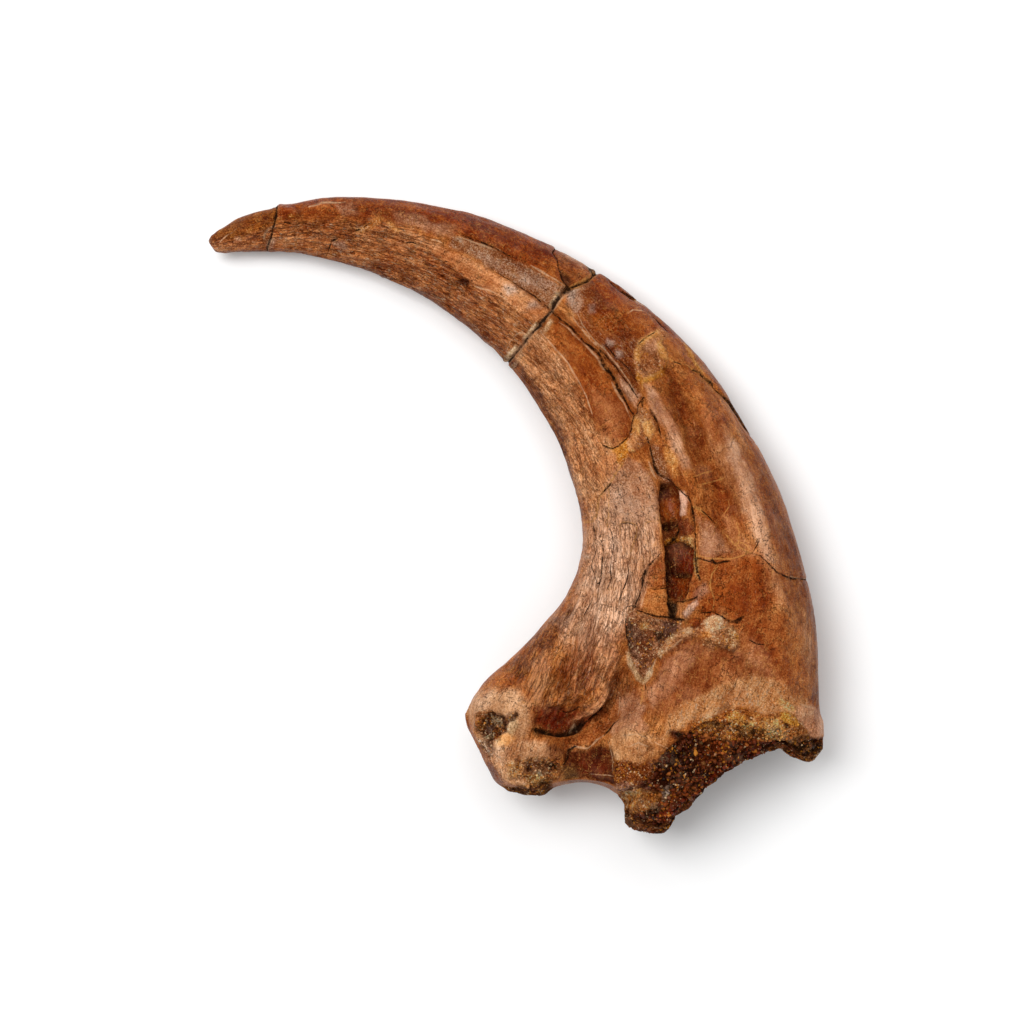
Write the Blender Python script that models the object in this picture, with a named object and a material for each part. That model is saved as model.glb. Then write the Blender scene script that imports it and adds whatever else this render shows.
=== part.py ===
"""Fossil hand claw of a large meat-eating dinosaur, lying on its side: one solid of mineralised bone.

Run it with: blender --background --python part.py

The claw is lofted from the tip to the joint end. Its outline lies in the XY plane, +X towards the outer
(upper) edge of the claw and +Y towards the tip, and its thickness runs along Z. Each ring of the loft goes
over the upper flank from the inner edge to the outer edge, and back under the lower flank. Near the joint
the straight sections bend until they follow the end line, and the end itself is closed by the joint face.
All shape values are in millimetres, and the mesh is written in metres.
"""

import bmesh
import bpy
import numpy as np
from mathutils import noise

MM = 0.001
NAME = "fossil_claw"

# Driving dimensions: the outline's size and the thickness at the joint.
SPAN_X = 154.5
SPAN_Y = 160.0
THICKNESS = 38.0

# The tables below are drawn for that size. A change of a driving dimension scales them.
DRAWN_SPAN_X = 154.5
DRAWN_SPAN_Y = 160.0
DRAWN_THICKNESS = 38.0

# Stations from the tip to the joint: inner edge (x, y), outer edge (x, y), half thickness.
STATIONS = [
    (-77.6, 68.7, -77.6, 68.7, 2.0),
    (-75.8, 66.2, -74.6, 71.5, 2.4),
    (-69.6, 66.2, -69.4, 74.8, 3.5),
    (-60.7, 66.2, -60.3, 77.4, 4.4),
    (-51.4, 65.1, -48.2, 79.7, 5.5),
    (-41.2, 62.3, -36.3, 79.7, 6.6),
    (-30.5, 58.6, -22.9, 78.1, 7.7),
    (-20.3, 53.1, -9.4, 75.0, 8.7),
    (-10.8, 46.0, 5.2, 69.1, 9.6),
    (-2.1, 37.7, 20.9, 60.8, 10.5),
    (5.5, 27.4, 35.0, 50.2, 11.4),
    (11.1, 17.2, 48.4, 36.7, 12.4),
    (14.7, 7.0, 58.6, 21.0, 13.5),
    (16.9, -1.8, 66.5, 5.0, 14.6),
    (16.8, -11.5, 71.3, -10.0, 15.6),
    (12.8, -21.6, 74.5, -23.0, 16.5),
    (7.2, -28.8, 75.6, -32.5, 17.2),
    (0.1, -36.3, 75.8, -41.5, 17.8),
    (-7.5, -43.2, 75.9, -48.0, 18.4),
    (-12.3, -51.1, 76.5, -54.0, 18.8),
]

# The line that closes the outline at the joint, from the inner edge round the heel (the knob where the
# tendon pulled), the gap, the spur and the joint hollow to the upper lip: x, y, half thickness.
END_LINE = [
    (-12.3, -51.1, 9.0),
    (-11.8, -54.2, 9.8),
    (-9.9, -58.1, 10.4),
    (-8.0, -61.9, 10.8),
    (-6.2, -65.3, 11.0),
    (-4.5, -68.2, 11.2),
    (-1.6, -70.0, 11.2),
    (1.6, -70.7, 11.0),
    (5.3, -71.1, 10.6),
    (8.6, -70.0, 10.2),
    (12.3, -68.8, 9.8),
    (17.2, -68.2, 9.8),
    (21.3, -68.8, 11.0),
    (24.4, -70.1, 12.6),
    (27.1, -72.9, 13.6),
    (28.0, -77.3, 14.2),
    (30.8, -79.8, 14.8),
    (35.1, -80.5, 15.6),
    (38.4, -79.4, 16.4),
    (40.9, -76.1, 17.2),
    (44.9, -72.5, 18.0),
    (49.6, -68.2, 18.6),
    (54.5, -64.4, 19.0),
    (59.4, -62.3, 19.0),
    (65.5, -60.0, 18.2),
    (68.3, -61.1, 16.8),
    (71.2, -62.4, 15.0),
    (74.5, -62.0, 13.0),
    (76.5, -59.4, 11.5),
    (76.9, -56.6, 10.5),
    (76.5, -54.0, 9.5),
]

# Rounding of the rim between a flank and the end, along END_LINE: share, radius, drop at the end.
# The upper rim is broken away over the spur and the joint hollow, and the lower rim is whole.
UPPER_RIM = [
    (0.00, 7.0, 6.0),
    (0.20, 7.0, 7.0),
    (0.32, 6.0, 5.5),
    (0.42, 8.0, 7.5),
    (0.60, 15.0, 8.5),
    (0.80, 11.0, 8.0),
    (0.92, 9.0, 7.5),
    (1.00, 6.0, 6.5),
]
LOWER_RIM = [
    (0.00, 7.0, 6.0),
    (0.20, 7.0, 7.0),
    (0.32, 5.0, 4.5),
    (0.42, 5.0, 4.5),
    (0.60, 3.5, 2.5),
    (0.80, 3.5, 2.5),
    (0.92, 5.0, 4.5),
    (1.00, 6.0, 6.5),
]

# The end face between the two rims: share of END_LINE, how far the rims stand back from the mid-plane,
# depth of the hollow on each side of the keel.
END_FACE = [
    (0.00, 0.6, 0.0),
    (0.15, 2.4, 0.0),
    (0.32, 1.0, 0.0),
    (0.44, 1.0, 0.5),
    (0.60, 1.2, 2.2),
    (0.80, 1.2, 2.2),
    (0.92, 1.0, 0.4),
    (1.00, 0.6, 0.0),
]

# Relief of the flanks. A furrow follows a path: half width, depth (a ridge has a negative depth).
UPPER_FURROWS = [
    # the broad trough beside the outer edge, and the two crests that bound it
    ([(38.0, 34.6), (41.8, 24.9), (46.4, 16.5), (49.3, 10.5), (51.3, 1.4), (51.9, -8.6)], 3.2, 1.9),
    ([(40.7, 33.1), (47.3, 23.9), (52.9, 14.1), (57.7, 3.1), (60.8, -3.9), (63.4, -13.6),
      (66.0, -23.4), (67.6, -33.2)], 3.0, -1.2),
    ([(34.2, 30.3), (37.9, 22.7), (40.8, 18.0), (43.4, 13.2), (44.9, 6.7)], 1.8, -0.8),
    # the blood groove, from the middle of the blade to the deep slot
    ([(-18.6, 66.1), (-9.1, 61.7), (0.9, 56.5), (9.9, 50.2), (14.4, 45.1), (21.2, 36.9),
      (26.8, 28.5), (29.8, 22.8)], 2.4, 1.2),
    ([(29.8, 22.8), (34.9, 12.5), (37.9, 4.6), (39.9, -2.9)], 2.0, 1.6),
    ([(37.7, 4.0), (39.9, -3.9), (40.6, -11.5), (40.1, -18.9), (39.2, -25.1)], 2.3, 4.2),
    # the hollow between the heel and the joint
    ([(31.5, -39.2), (26.2, -47.4), (21.7, -56.2), (18.2, -65.1)], 5.2, 3.0),
]
LOWER_FURROWS = [
    ([(36.0, 38.0), (43.0, 27.0), (49.0, 15.0), (53.0, 2.0), (54.0, -12.0)], 3.4, 1.4),
    ([(-30.0, 69.0), (-8.0, 62.0), (9.0, 51.0), (22.0, 36.0), (31.0, 20.0), (37.0, 2.0),
      (39.0, -14.0)], 2.6, 1.8),
    ([(31.0, -36.0), (25.5, -46.0), (21.5, -55.0), (18.0, -64.0)], 5.4, 3.0),
]

# A pit: centre x, y, half length, half width, turn in degrees, depth.
UPPER_PITS = [
    (33.4, -32.6, 6.0, 3.2, 65.0, 2.6),
    (13.3, -51.9, 6.0, 3.6, 10.0, 2.8),
    (-5.0, -54.2, 3.6, 2.8, 30.0, 1.9),
    (8.0, -63.7, 4.4, 2.4, -20.0, 1.6),
    (13.0, 59.4, 4.6, 2.6, -40.0, 0.9),
    (46.0, -57.8, 8.0, 3.6, 35.0, 1.8),
]
LOWER_PITS = [
    (12.0, -49.0, 6.5, 4.0, 15.0, 2.6),
    (42.0, -22.0, 3.0, 2.4, 0.0, 1.4),
    (-4.0, -57.0, 3.6, 2.6, 20.0, 1.2),
]

# The break that was glued runs right round the claw at this station.
BREAK_STATION = 9.0
BREAK_HALF_WIDTH = 0.055
BREAK_DEPTH = 0.7

# How the claw lies: it leans towards its tip and towards its inner edge, in degrees, until it rests on
# the joint and on the back of the blade. The spots where it rests are worn flat by this much.
LEAN_TO_TIP = 5.0
LEAN_TO_INNER_EDGE = 0.5
WORN_FLAT = 0.6

# Sections of the two flanks on the blade: how far the thickest line lies from the middle towards the
# outer edge (1 is the middle), and how square the section is. The lower flank was pressed flatter in the
# ground, and it is fuller beside the spur: centre x, y, radius, extra height.
UPPER_SECTION = (1.45, 2.1)
LOWER_SECTION = (1.05, 2.65)
LOWER_FULLNESS = (34.0, -48.0, 20.0, 2.6)

# The broken rim and the pitted end of the heel are rough: amount, and size of the lumps.
ROUGH_HEIGHT = 0.4
ROUGH_SIZE = 4.2

# Grid of the loft.
FLANK_COLUMNS = 28
RING_STEP = 3.4
FINE_RINGS_BY_BREAK = (-0.16, -0.055, 0.0, 0.055, 0.16)
END_RINGS = 5

BONE_COLOUR = (0.27, 0.105, 0.038, 1.0)
BONE_ROUGHNESS = 0.42


def clear_scene():
    for obj in list(bpy.data.objects):
        bpy.data.objects.remove(obj, do_unlink=True)


def smooth_curve(rows, at):
    """Catmull-Rom curve through the rows of a table, read at fractional row numbers."""
    rows = np.asarray(rows, float)
    last = len(rows) - 1
    at = np.asarray(at, float)
    row = np.clip(np.floor(at).astype(int), 0, last - 1)
    t = (at - row)[..., None]
    padded = np.vstack([2 * rows[0] - rows[1], rows, 2 * rows[-1] - rows[-2]])
    a, b, c, d = (padded[row + k] for k in range(4))
    return 0.5 * (2 * b + (c - a) * t + (2 * a - 5 * b + 4 * c - d) * t**2 + (3 * b - a - 3 * c + d) * t**3)


def along_length(rows, share):
    """The same curve, read at shares of its length in the XY plane."""
    fine = np.linspace(0, len(rows) - 1, 40 * len(rows))
    points = smooth_curve(rows, fine)
    steps = np.hypot(*np.diff(points[:, :2], axis=0).T)
    length = np.concatenate([[0], np.cumsum(steps)])
    return smooth_curve(rows, np.interp(share, length / length[-1], fine))


def table(rows, share):
    """Straight-line values between the rows of a table whose first column is the share."""
    rows = np.asarray(rows, float)
    return [np.interp(share, rows[:, 0], rows[:, k]) for k in range(1, rows.shape[1])]


def smoothstep(x, low=0.0, high=1.0):
    t = np.clip((x - low) / (high - low), 0, 1)
    return t * t * (3 - 2 * t)


def outline_point(station, share):
    """(x, y) at a fractional station and a share of the way from the inner edge to the outer edge."""
    edges = smooth_curve(STATIONS, station)
    inner, outer = edges[..., 0:2], edges[..., 2:4]
    share = share[..., None]
    straight = inner + (outer - inner) * share
    end = along_length(END_LINE, share[..., 0])[..., :2]
    chord = end[..., :1, :] * (1 - share) + end[..., -1:, :] * share
    bend = np.clip((station - 12.5) / (len(STATIONS) - 13.5), 0, 1) ** 1.5
    return straight + (end - chord) * bend[..., None]


def full_height(station, share, section):
    """Height of a flank above the mid-plane before its rim is rounded and its relief is cut."""
    half = smooth_curve(STATIONS, station)[..., 4]
    tip = np.sqrt(1 - (1 - np.clip(station, 0, 1)) ** 2)
    # the back of the blade is broad and round, and its inner edge is narrower
    blade_lean, blade_power = section
    lean = blade_lean - (blade_lean - 1) * 0.78 * smoothstep(station, 9, 16)
    across = 2 * share**lean - 1
    power = blade_power + 0.5 * smoothstep(station, 10, 16)
    blade = half * tip * np.maximum(1 - np.abs(across) ** power, 0) ** (1 / power)
    end_half = along_length(END_LINE, share)[..., 2]
    end_round = np.maximum(1 - np.abs(2 * share - 1) ** 7, 0) ** 0.5
    blend = smoothstep(station, 12.5, len(STATIONS) - 1)
    return blade * (1 - blend) + end_half * end_round * blend


def path_distance(xy, path):
    """Shortest distance from each point to a path, and how far along the path that is, from 0 to 1."""
    nearest = np.full(xy.shape[:-1], np.inf)
    along = np.zeros(xy.shape[:-1])
    path = np.asarray(path, float)
    lengths = np.hypot(*np.diff(path, axis=0).T)
    before = np.concatenate([[0], np.cumsum(lengths)])
    for start, step, length, passed in zip(path, np.diff(path, axis=0), lengths, before):
        t = np.clip(((xy - start) @ step) / length**2, 0, 1)
        distance = np.linalg.norm(xy - start - t[..., None] * step, axis=-1)
        closer = distance < nearest
        nearest = np.where(closer, distance, nearest)
        along = np.where(closer, (passed + t * length) / before[-1], along)
    return nearest, along


def relief(xy, furrows, pits):
    """Depth cut into a flank at each point: furrows along their paths, and pits."""
    depth = np.zeros(xy.shape[:-1])
    for path, half_width, deep in furrows:
        distance, along = path_distance(xy, path)
        faded_ends = 0.25 + 0.75 * np.sin(np.pi * along) ** 0.5
        depth += deep * faded_ends * np.exp(-((distance / half_width) ** 2))
    for x, y, half_length, half_width, turn, deep in pits:
        c, s = np.cos(np.radians(turn)), np.sin(np.radians(turn))
        dx, dy = xy[..., 0] - x, xy[..., 1] - y
        reach = ((dx * c + dy * s) / half_length) ** 2 + ((dy * c - dx * s) / half_width) ** 2
        depth += deep * np.exp(-(reach**1.5))
    return depth


def lumps(xy):
    """Uneven height from -1 to 1 at each point, the same in every run."""
    flat = [noise.noise((x / ROUGH_SIZE, y / ROUGH_SIZE, 0.37)) for x, y in xy.reshape(-1, 2)]
    return 2 * np.reshape(flat, xy.shape[:-1])


def flank(station, share, section, rim, furrows, pits, fullness=(0, 0, 1, 0)):
    """Points of one flank: its outline and its height above the mid-plane."""
    inset, _ = table(END_FACE, share)
    xy = outline_point(station, share)
    end = outline_point(np.full_like(station, len(STATIONS) - 1), share)
    xy = xy - end_normal(share) * (inset * smoothstep(station, 16, len(STATIONS) - 1))[..., None]
    radius, drop = table(rim, share)
    to_end = np.linalg.norm(end - xy, axis=-1) / radius
    rounded = 1 - np.sqrt(1 - (1 - np.clip(to_end, 0, 1)) ** 2)
    near_end = smoothstep(station, 14, 16)
    x, y, reach, extra = fullness
    height = full_height(station, share, section)
    height = height + extra * np.exp(-((np.hypot(xy[..., 0] - x, xy[..., 1] - y) / reach) ** 2))
    cut = relief(xy, furrows, pits) * np.clip(height / 5, 0, 1)
    cut = cut + ROUGH_HEIGHT * lumps(xy) * near_end * np.clip(1.4 - to_end, 0, 1)
    at_break = np.abs(station - BREAK_STATION) < BREAK_HALF_WIDTH / 2
    cut = cut + BREAK_DEPTH * at_break * np.clip(height / 2, 0, 1)
    fall = np.minimum(drop * rounded * near_end, 0.75 * height)
    return xy, np.maximum(height - fall - cut, 0.08 * height)


def end_normal(share):
    """Unit normal of END_LINE in the XY plane, pointing out of the claw."""
    step = 0.012
    after = along_length(END_LINE, np.clip(share + step, 0, 1))[..., :2]
    before = along_length(END_LINE, np.clip(share - step, 0, 1))[..., :2]
    run = after - before
    normal = np.stack([run[..., 1], -run[..., 0]], axis=-1)
    return normal / np.linalg.norm(normal, axis=-1, keepdims=True)


def ring_stations():
    """Stations of the rings, about RING_STEP apart along the middle line, with more at the break."""
    fine = np.linspace(0, len(STATIONS) - 1, 2000)
    edges = smooth_curve(STATIONS, fine)
    middle = (edges[:, 0:2] + edges[:, 2:4]) / 2
    length = np.concatenate([[0], np.cumsum(np.hypot(*np.diff(middle, axis=0).T))])
    # the bent sections near the joint are longest over the spur, so the rings lie closer there
    length = length * (1 + 0.25 * smoothstep(fine, 12, 19))
    count = int(length[-1] / RING_STEP)
    even = np.interp(np.linspace(0, length[-1], count)[1:], length, fine)
    even = even[np.abs(even - BREAK_STATION) > 0.25]
    by_tip = [0.06, 0.2, 0.45]
    by_break = [BREAK_STATION + offset for offset in FINE_RINGS_BY_BREAK]
    return np.array(sorted([*by_tip, *by_break, *even[even > 0.6]]))


def column_shares(station):
    """Shares of the columns of a flank: bunched at both edges on the blade, and more even at the end."""
    turn = np.linspace(0, 1, FLANK_COLUMNS + 1)
    bunched = (1 - np.cos(np.pi * turn)) / 2
    even = smoothstep(np.asarray(station), 12, len(STATIONS) - 1)[..., None] * 0.7
    return bunched * (1 - even) + turn * even


def ring_points():
    """All rings as one array: ring, column round the ring, (x, y, z)."""
    stations = ring_stations()
    share = column_shares(stations)
    station = np.broadcast_to(stations[:, None], share.shape)
    top_xy, top_z = flank(station, share, UPPER_SECTION, UPPER_RIM, UPPER_FURROWS, UPPER_PITS)
    low_xy, low_z = flank(station, share, LOWER_SECTION, LOWER_RIM, LOWER_FURROWS, LOWER_PITS,
                          LOWER_FULLNESS)
    rings = [joined(top_xy, top_z, low_xy, low_z)]
    # the end face, ring by ring from the rims to the keel at the mid-plane
    inset, hollow = table(END_FACE, share[-1])
    outward = end_normal(share[-1])
    for k in range(1, END_RINGS + 1):
        left = 1 - k / END_RINGS
        bulge = inset * (1 - left**2) - hollow * (1 - np.cos(2 * np.pi * left)) / 2
        xy = top_xy[-1] + outward * bulge[:, None]
        rings.append(joined(xy, top_z[-1] * left, xy, low_z[-1] * left)[None])
    return np.concatenate(rings)


def joined(top_xy, top_z, low_xy, low_z):
    """One ring from its upper half, inner edge to outer edge, and its lower half, back again."""
    # both edges lie at the mid-plane, so each is kept once
    top_z = top_z * edge_mask(top_z.shape[-1])
    upper = np.concatenate([top_xy, top_z[..., None]], axis=-1)
    lower = np.concatenate([low_xy, -low_z[..., None]], axis=-1)
    return np.concatenate([upper, lower[..., -2:0:-1, :]], axis=-2)


def edge_mask(count):
    mask = np.ones(count)
    mask[0] = mask[-1] = 0
    return mask


def laid_down(points):
    """Leans the claw over, sets it on the ground, wears its resting spots flat and centres its box."""
    a, b = np.radians(LEAN_TO_TIP), np.radians(LEAN_TO_INNER_EDGE)
    about_x = np.array([[1, 0, 0], [0, np.cos(a), np.sin(a)], [0, -np.sin(a), np.cos(a)]])
    about_y = np.array([[np.cos(b), 0, -np.sin(b)], [0, 1, 0], [np.sin(b), 0, np.cos(b)]])
    points = points @ (about_y @ about_x).T
    points[:, 2] -= points[:, 2].min() + WORN_FLAT
    points[:, 2] = np.maximum(points[:, 2], 0)
    centre = (points[:, :2].min(axis=0) + points[:, :2].max(axis=0)) / 2
    points[:, :2] -= centre
    return points


def claw_mesh():
    """The loft as a closed mesh: a fan at the tip, quads along the claw, and the end face sewn at its keel."""
    rings = ring_points()
    count, columns = rings.shape[:2]
    scale = [SPAN_X / DRAWN_SPAN_X, SPAN_Y / DRAWN_SPAN_Y, THICKNESS / DRAWN_THICKNESS]
    tip = [[*STATIONS[0][:2], 0.0]]
    points = laid_down(np.vstack([tip, rings.reshape(-1, 3)]) * scale)

    bm = bmesh.new()
    verts = [bm.verts.new(point) for point in points * MM]
    grid = [verts[1 + k * columns : 1 + (k + 1) * columns] for k in range(count)]
    for i in range(columns):
        bm.faces.new((verts[0], grid[0][i], grid[0][i - 1]))
    for near, far in zip(grid, grid[1:]):
        for i in range(columns):
            bm.faces.new((near[i - 1], near[i], far[i], far[i - 1]))
    bmesh.ops.remove_doubles(bm, verts=bm.verts, dist=1e-6)
    bmesh.ops.recalc_face_normals(bm, faces=bm.faces)
    bmesh.ops.triangulate(bm, faces=bm.faces, quad_method="SHORT_EDGE")
    mesh = bpy.data.meshes.new(NAME)
    bm.to_mesh(mesh)
    bm.free()
    mesh.shade_smooth()
    mesh.set_sharp_from_angle(angle=np.radians(50))
    return mesh


def bone_material():
    material = bpy.data.materials.new("fossil_bone")
    material.use_nodes = True
    shader = material.node_tree.nodes["Principled BSDF"]
    shader.inputs["Base Color"].default_value = BONE_COLOUR
    shader.inputs["Roughness"].default_value = BONE_ROUGHNESS
    shader.inputs["Metallic"].default_value = 0.0
    return material


def main():
    clear_scene()
    parts = bpy.data.collections.new("dinosaur_fossil_claw")
    bpy.context.scene.collection.children.link(parts)
    mesh = claw_mesh()
    mesh.materials.append(bone_material())
    parts.objects.link(bpy.data.objects.new(NAME, mesh))


main()
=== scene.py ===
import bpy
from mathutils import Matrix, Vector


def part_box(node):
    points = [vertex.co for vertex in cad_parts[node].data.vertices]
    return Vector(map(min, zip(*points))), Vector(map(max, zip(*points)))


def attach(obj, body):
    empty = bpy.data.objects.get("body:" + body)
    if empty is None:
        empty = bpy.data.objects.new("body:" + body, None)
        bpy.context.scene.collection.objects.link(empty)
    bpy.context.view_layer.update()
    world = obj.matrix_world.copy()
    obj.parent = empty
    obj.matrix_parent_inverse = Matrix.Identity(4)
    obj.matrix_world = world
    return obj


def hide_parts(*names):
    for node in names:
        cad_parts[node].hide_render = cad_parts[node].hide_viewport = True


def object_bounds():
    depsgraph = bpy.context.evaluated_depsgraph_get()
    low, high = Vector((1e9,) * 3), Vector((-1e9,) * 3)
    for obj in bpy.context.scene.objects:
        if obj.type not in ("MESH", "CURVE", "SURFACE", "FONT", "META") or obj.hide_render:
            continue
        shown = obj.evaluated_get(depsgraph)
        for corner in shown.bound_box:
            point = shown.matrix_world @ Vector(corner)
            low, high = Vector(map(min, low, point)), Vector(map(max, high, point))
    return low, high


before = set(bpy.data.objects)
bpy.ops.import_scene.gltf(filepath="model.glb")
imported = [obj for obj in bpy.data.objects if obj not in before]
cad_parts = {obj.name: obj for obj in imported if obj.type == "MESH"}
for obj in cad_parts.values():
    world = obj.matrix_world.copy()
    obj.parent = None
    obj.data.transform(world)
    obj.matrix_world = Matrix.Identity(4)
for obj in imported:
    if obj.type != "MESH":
        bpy.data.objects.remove(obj)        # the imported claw: one body, "root", and one node, "fossil_claw"

from types import SimpleNamespace

import bpy
import numpy as np

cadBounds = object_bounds()
mm = 0.001

# The form of the claw, in mm. Stations from the tip to the joint: inner edge x, y, outer edge x, y, half
# thickness.
clawForm = {
    "stations": [
        (-77.6, 68.7, -77.6, 68.7, 2.0), (-75.8, 66.2, -74.6, 71.5, 2.4),
        (-69.6, 66.2, -69.4, 74.8, 3.5), (-60.7, 66.2, -60.3, 77.4, 4.4),
        (-51.4, 65.1, -48.2, 79.7, 5.5), (-41.2, 62.3, -36.3, 79.7, 6.6),
        (-30.5, 58.6, -22.9, 78.1, 7.7), (-20.3, 53.1, -9.4, 75.0, 8.7), (-10.8, 46.0, 5.2, 69.1, 9.6),
        (-2.1, 37.7, 20.9, 60.8, 10.5), (5.5, 27.4, 35.0, 50.2, 11.4), (11.1, 17.2, 48.4, 36.7, 12.4),
        (14.7, 7.0, 58.6, 21.0, 13.5), (16.9, -1.8, 66.5, 5.0, 14.6), (16.8, -11.5, 71.3, -10.0, 15.6),
        (12.8, -21.6, 74.5, -23.0, 16.5), (7.2, -28.8, 75.6, -32.5, 17.2),
        (0.1, -36.3, 75.8, -41.5, 17.8), (-7.5, -43.2, 75.9, -48.0, 18.4),
        (-12.3, -51.1, 76.5, -54.0, 18.8)],
    # the line that closes the outline at the joint, from the heel round the spur to the upper lip: x, y and
    # half thickness
    "endLine": [
        (-12.3, -51.1, 9.0), (-11.8, -54.2, 9.8), (-9.9, -58.1, 10.4), (-8.0, -61.9, 10.8),
        (-6.2, -65.3, 11.0), (-4.5, -68.2, 11.2), (-1.6, -70.0, 11.2), (1.6, -70.7, 11.0),
        (5.3, -71.1, 10.6), (8.6, -70.0, 10.2), (12.3, -68.8, 9.8), (17.2, -68.2, 9.8),
        (21.3, -68.8, 11.0), (24.4, -70.1, 12.6), (27.1, -72.9, 13.6), (28.0, -77.3, 14.2),
        (30.8, -79.8, 14.8), (35.1, -80.5, 15.6), (38.4, -79.4, 16.4), (40.9, -76.1, 17.2),
        (44.9, -72.5, 18.0), (49.6, -68.2, 18.6), (54.5, -64.4, 19.0), (59.4, -62.3, 19.0),
        (65.5, -60.0, 18.2), (68.3, -61.1, 16.8), (71.2, -62.4, 15.0), (74.5, -62.0, 13.0),
        (76.5, -59.4, 11.5), (76.9, -56.6, 10.5), (76.5, -54.0, 9.5)],
    # rounding of the rims along the end line: share, radius, drop
    "upperRim": [(0.0, 7.0, 6.0), (0.2, 7.0, 7.0), (0.32, 6.0, 5.5), (0.42, 8.0, 7.5), (0.6, 15.0, 8.5),
                 (0.8, 11.0, 8.0), (0.92, 9.0, 7.5), (1.0, 6.0, 6.5)],
    "lowerRim": [(0.0, 7.0, 6.0), (0.2, 7.0, 7.0), (0.32, 5.0, 4.5), (0.42, 5.0, 4.5), (0.6, 3.5, 2.5),
                 (0.8, 3.5, 2.5), (0.92, 5.0, 4.5), (1.0, 6.0, 6.5)],
    # share, how far the rims stand back from the mid-plane, depth of the two hollows of the joint
    "endFace": [(0.0, 0.0, 0.0), (0.15, 2.4, 0.0), (0.32, 1.0, 0.0), (0.44, 1.0, 0.5), (0.6, 1.2, 2.2),
                (0.8, 1.2, 2.2), (0.92, 1.0, 0.4), (1.0, 0.0, 0.0)],
    # furrows along a path: half width, depth, and a ridge has a negative depth
    "upperFurrows": [
        ([(38.0, 34.6), (41.8, 24.9), (46.4, 16.5), (49.3, 10.5), (51.3, 1.4), (51.9, -8.6)], 3.2, 1.9),
        ([(40.7, 33.1), (47.3, 23.9), (52.9, 14.1), (57.7, 3.1), (60.8, -3.9), (63.4, -13.6),
          (66.0, -23.4), (67.6, -33.2)], 3.0, -1.2),
        ([(34.2, 30.3), (37.9, 22.7), (40.8, 18.0), (43.4, 13.2), (44.9, 6.7)], 1.8, -0.8),
        ([(-18.6, 66.1), (-9.1, 61.7), (0.9, 56.5), (9.9, 50.2), (14.4, 45.1), (21.2, 36.9),
          (26.8, 28.5), (29.8, 22.8)], 2.4, 1.2),
        ([(29.8, 22.8), (34.9, 12.5), (37.9, 4.6), (39.9, -2.9)], 2.0, 1.6),
        ([(37.7, 4.0), (39.9, -3.9), (40.6, -11.5), (40.1, -18.9), (39.2, -25.1)], 2.3, 4.2),
        ([(31.5, -39.2), (26.2, -47.4), (21.7, -56.2), (18.2, -65.1)], 5.2, 3.0)],
    "lowerFurrows": [
        ([(36.0, 38.0), (43.0, 27.0), (49.0, 15.0), (53.0, 2.0), (54.0, -12.0)], 3.4, 1.4),
        ([(-30.0, 69.0), (-8.0, 62.0), (9.0, 51.0), (22.0, 36.0), (31.0, 20.0), (37.0, 2.0),
          (39.0, -14.0)], 2.6, 1.8),
        ([(31.0, -36.0), (25.5, -46.0), (21.5, -55.0), (18.0, -64.0)], 5.4, 3.0)],
    # pits: centre x, y, half length, half width, turn in degrees, depth
    "upperPits": [
        (33.4, -32.6, 6.0, 3.2, 65.0, 2.6), (13.3, -51.9, 6.0, 3.6, 10.0, 2.8),
        (-5.0, -54.2, 3.6, 2.8, 30.0, 1.9), (8.0, -63.7, 4.4, 2.4, -20.0, 1.6),
        (13.0, 59.4, 4.6, 2.6, -40.0, 0.9), (46.0, -57.8, 8.0, 3.6, 35.0, 1.8)],
    "lowerPits": [
        (12.0, -49.0, 6.5, 4.0, 15.0, 2.6), (42.0, -22.0, 3.0, 2.4, 0.0, 1.4),
        (-4.0, -57.0, 3.6, 2.6, 20.0, 1.2)],
    "upperSection": (1.45, 2.1), "lowerSection": (1.05, 2.65),      # lean of the thickest line, squareness
    # where the blade turns into the joint, as numbers of stations
    "bendFrom": 12.5, "bendPower": 1.5, "uprightFrom": (9, 16), "uprightShare": 0.78,
    "squareFrom": (10, 16), "squarer": 0.5, "endPower": 7, "rimFrom": (14, 16), "insetFrom": 16,
    "leastHeight": 0.08, "mostRimFall": 0.75, "reliefFrom": 5.0, "furrowEnds": (0.25, 0.5),
    "lowerFullness": (34.0, -48.0, 20.0, 2.6),                      # centre x, y, radius, extra height
    "leanToTip": 5.0, "leanToInner": 0.5, "wornFlat": 0.6,          # how it lies, in degrees and mm
}

# The mesh: step along the claw, steps across the upper and the lower flank and the joint face.
clawMesh = {"alongStep": 0.48, "upperStep": 0.46, "lowerStep": 1.0, "faceStep": 0.7, "arcSamples": 48}


def smoothStep(x, low=0.0, high=1.0):        # 3t^2 - 2t^3 between low and high
    t = np.clip((x - low) / (high - low), 0, 1)
    return t * t * (3 - 2 * t)


def smoothCurve(rows, at):                   # Catmull-Rom curve through a table's rows, at fractional rows
    rows = np.asarray(rows, float)
    row = np.clip(np.floor(at).astype(int), 0, len(rows) - 2)
    t = (np.asarray(at, float) - row)[..., None]
    padded = np.vstack([2 * rows[0] - rows[1], rows, 2 * rows[-1] - rows[-2]])
    a, b, c, d = (padded[row + k] for k in range(4))
    return 0.5 * (2 * b + (c - a) * t + (2 * a - 5 * b + 4 * c - d) * t**2 + (3 * b - a - 3 * c + d) * t**3)


def runLength(points):                       # distance travelled along a line of points, from 0
    steps = np.linalg.norm(np.diff(points, axis=0), axis=-1)
    return np.concatenate([[0], np.cumsum(steps)])


def alongLength(rows, share):                # the same curve, read at shares of its length
    fine = np.linspace(0, len(rows) - 1, 40 * len(rows))
    length = runLength(smoothCurve(rows, fine)[:, :2])
    return smoothCurve(rows, np.interp(share, length / length[-1], fine))


def tableAt(rows, share):                    # straight-line values between rows that start with a share
    rows = np.asarray(rows, float)
    return [np.interp(share, rows[:, 0], rows[:, k]) for k in range(1, rows.shape[1])]


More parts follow.
